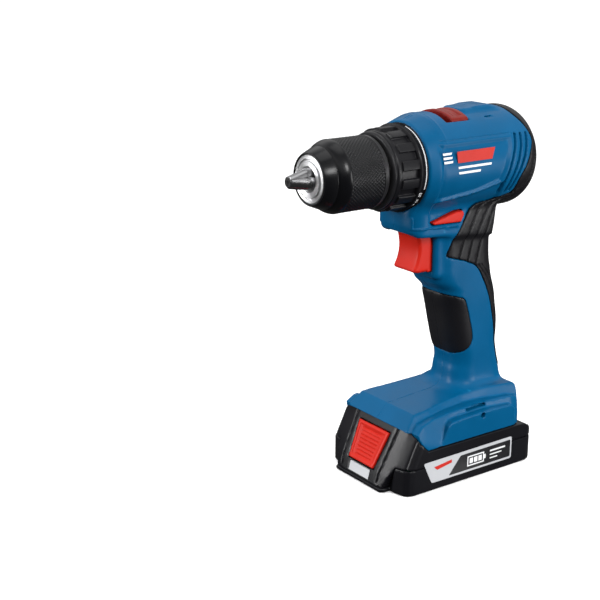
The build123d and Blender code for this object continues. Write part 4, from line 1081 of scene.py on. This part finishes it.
FILM = material("cell_film", (0.02, 0.22, 0.12), 0.3)
BOARD = material("circuit_board", (0.01, 0.16, 0.06), 0.35)
LABEL = material("label_film", (0.47, 0.48, 0.50), 0.34, shine=0.4, grain=0.1, spread=0.04)
WHITE = material("white_print", (0.78, 0.79, 0.80), 0.45, grain=0.08, spread=0.03)
WIRE = material("wire_cover", (0.45, 0.015, 0.015), 0.4)

BY_SLOT = {
    "blue_plastic": BLUE, "black_rubber": RUBBER, "red_plastic": RED, "black_plastic": BLACK,
    "grey_plastic": GREY, "steel": STEEL, "magnet": MAGNET, "copper": COPPER, "cell_wrap": FILM,
    "board_green": BOARD, "wire_cover": WIRE, "label_film": LABEL,
}
# what one piece or CAD node has in place of its slot's finish
SPECIAL = {
    "speed_selector_cap": DULL_RED, "chuck_body": FACE, "jaw_1": JAWS, "jaw_2": JAWS, "jaw_3": JAWS,
    "sleeve_shell": SLEEVE, "collar_marks": WHITE, "label_white": WHITE, "panel_white_bar": WHITE,
}
for entry in frame["record"]["subparts"]:
    finish = SPECIAL.get(entry["node"], BY_SLOT[entry["material_slot"]])
    for place in frame["nodes"][entry["node"]].material_slots:
        place.material = finish
for piece, body, nodes, slot in PIECES:
    piece.data.materials.clear()
    piece.data.materials.append(SPECIAL.get(piece.name, BY_SLOT[slot]))

# ---------------- floor, light and camera

CAMERA_AT = Vector((563.1, -496.4, 334.2)) * MM
YAW, PITCH = math.radians(54.84), math.radians(16.86)
SENSOR = 36.0
FOCAL_PIXELS, FRAME_PIXELS = 1252, 600
back = Vector((math.sin(YAW) * math.cos(PITCH), -math.cos(YAW) * math.cos(PITCH), math.sin(PITCH)))
right = Vector((math.cos(YAW), math.sin(YAW), 0))
facing = Matrix((right, back.cross(right), back)).transposed().to_4x4()
camera_data = bpy.data.cameras.new("camera")
camera_data.sensor_width = SENSOR
camera_data.lens = SENSOR * FOCAL_PIXELS / FRAME_PIXELS
camera = linked("camera", camera_data)
camera.matrix_world = Matrix.Translation(CAMERA_AT) @ facing
bpy.context.scene.camera = camera

FLOOR_HALF = 6.0                  # metres
WALL_R, WALL_SIDES, WALL_TOP = 5.8, 24, 6.0


def staged(name, verts, faces, grey, glow):
    """A pale surface of the studio, which lights and mirrors nothing."""
    mesh = bpy.data.meshes.new(name)
    mesh.from_pydata(verts, [], faces)
    paint = material(name, (grey, grey, grey), 0.9, shine=0.0, grain=0.0, spread=0.004, glow=glow)
    mesh.materials.append(paint)
    surface = linked(name, mesh)
    surface.visible_diffuse = False
    surface.visible_glossy = False
    return surface


corners = ((-1, -1), (1, -1), (1, 1), (-1, 1))
floor = staged("floor", [(u * FLOOR_HALF, v * FLOOR_HALF, 0) for u, v in corners], [(0, 1, 2, 3)],
               0.93, 0.22)
floor.location.z = -0.0002
turns = [2 * math.pi * k / WALL_SIDES for k in range(WALL_SIDES)]
sides = [(k, (k + 1) % WALL_SIDES) for k in range(WALL_SIDES)]
backdrop = staged(
    "backdrop", [(WALL_R * math.cos(a), WALL_R * math.sin(a), h) for h in (-0.01, WALL_TOP) for a in turns],
    [(k, after, WALL_SIDES + after, WALL_SIDES + k) for k, after in sides], 0.9, 0.95)
backdrop.visible_shadow = False

world = bpy.data.worlds.new("studio")
bpy.context.scene.world = world
world.use_nodes = True
nodes, links = world.node_tree.nodes, world.node_tree.links
direction = nodes.new("ShaderNodeSeparateXYZ")
links.new(nodes.new("ShaderNodeTexCoord").outputs["Generated"], direction.inputs["Vector"])
sky = nodes.new("ShaderNodeValToRGB")
ramp = sky.color_ramp.elements
ramp.new(0.5)
for element, (position, grey) in zip(ramp, ((0.14, 0.05), (0.6, 1.0), (0.95, 0.34))):
    element.position = position
    element.color = (grey, grey, grey, 1)
links.new(direction.outputs["Z"], sky.inputs["Fac"])
links.new(sky.outputs["Color"], nodes["Background"].inputs["Color"])
nodes["Background"].inputs["Strength"].default_value = 1.6


def softbox(name, at, towards, size, power):
    """An area light that looks at a point."""
    data = bpy.data.lights.new(name, "AREA")
    data.shape = "RECTANGLE"
    data.size, data.size_y = size
    data.energy = power
    lamp = linked(name, data)
    lamp.location = at
    lamp.rotation_euler = (Vector(towards) - Vector(at)).to_track_quat("-Z", "Y").to_euler()


softbox("key", (1.1, -0.2, 0.9), (0, 0, 0.12), (0.35, 0.35), 9)
softbox("side", (1.3, 0.45, 0.3), (0, 0, 0.1), (0.35, 0.6), 8)
softbox("low", (0.46, 0.3, 0.10), (0.02, 0.01, 0.045), (0.16, 0.16), 1.0)
softbox("fill", (-0.60, -1.10, 0.36), (0, 0, 0.12), (0.26, 0.9), 16)
softbox("top", (-0.1, 0.0, 1.3), (0, 0, 0.15), (0.7, 0.7), 3)
bpy.context.scene.view_settings.view_transform = "Standard"
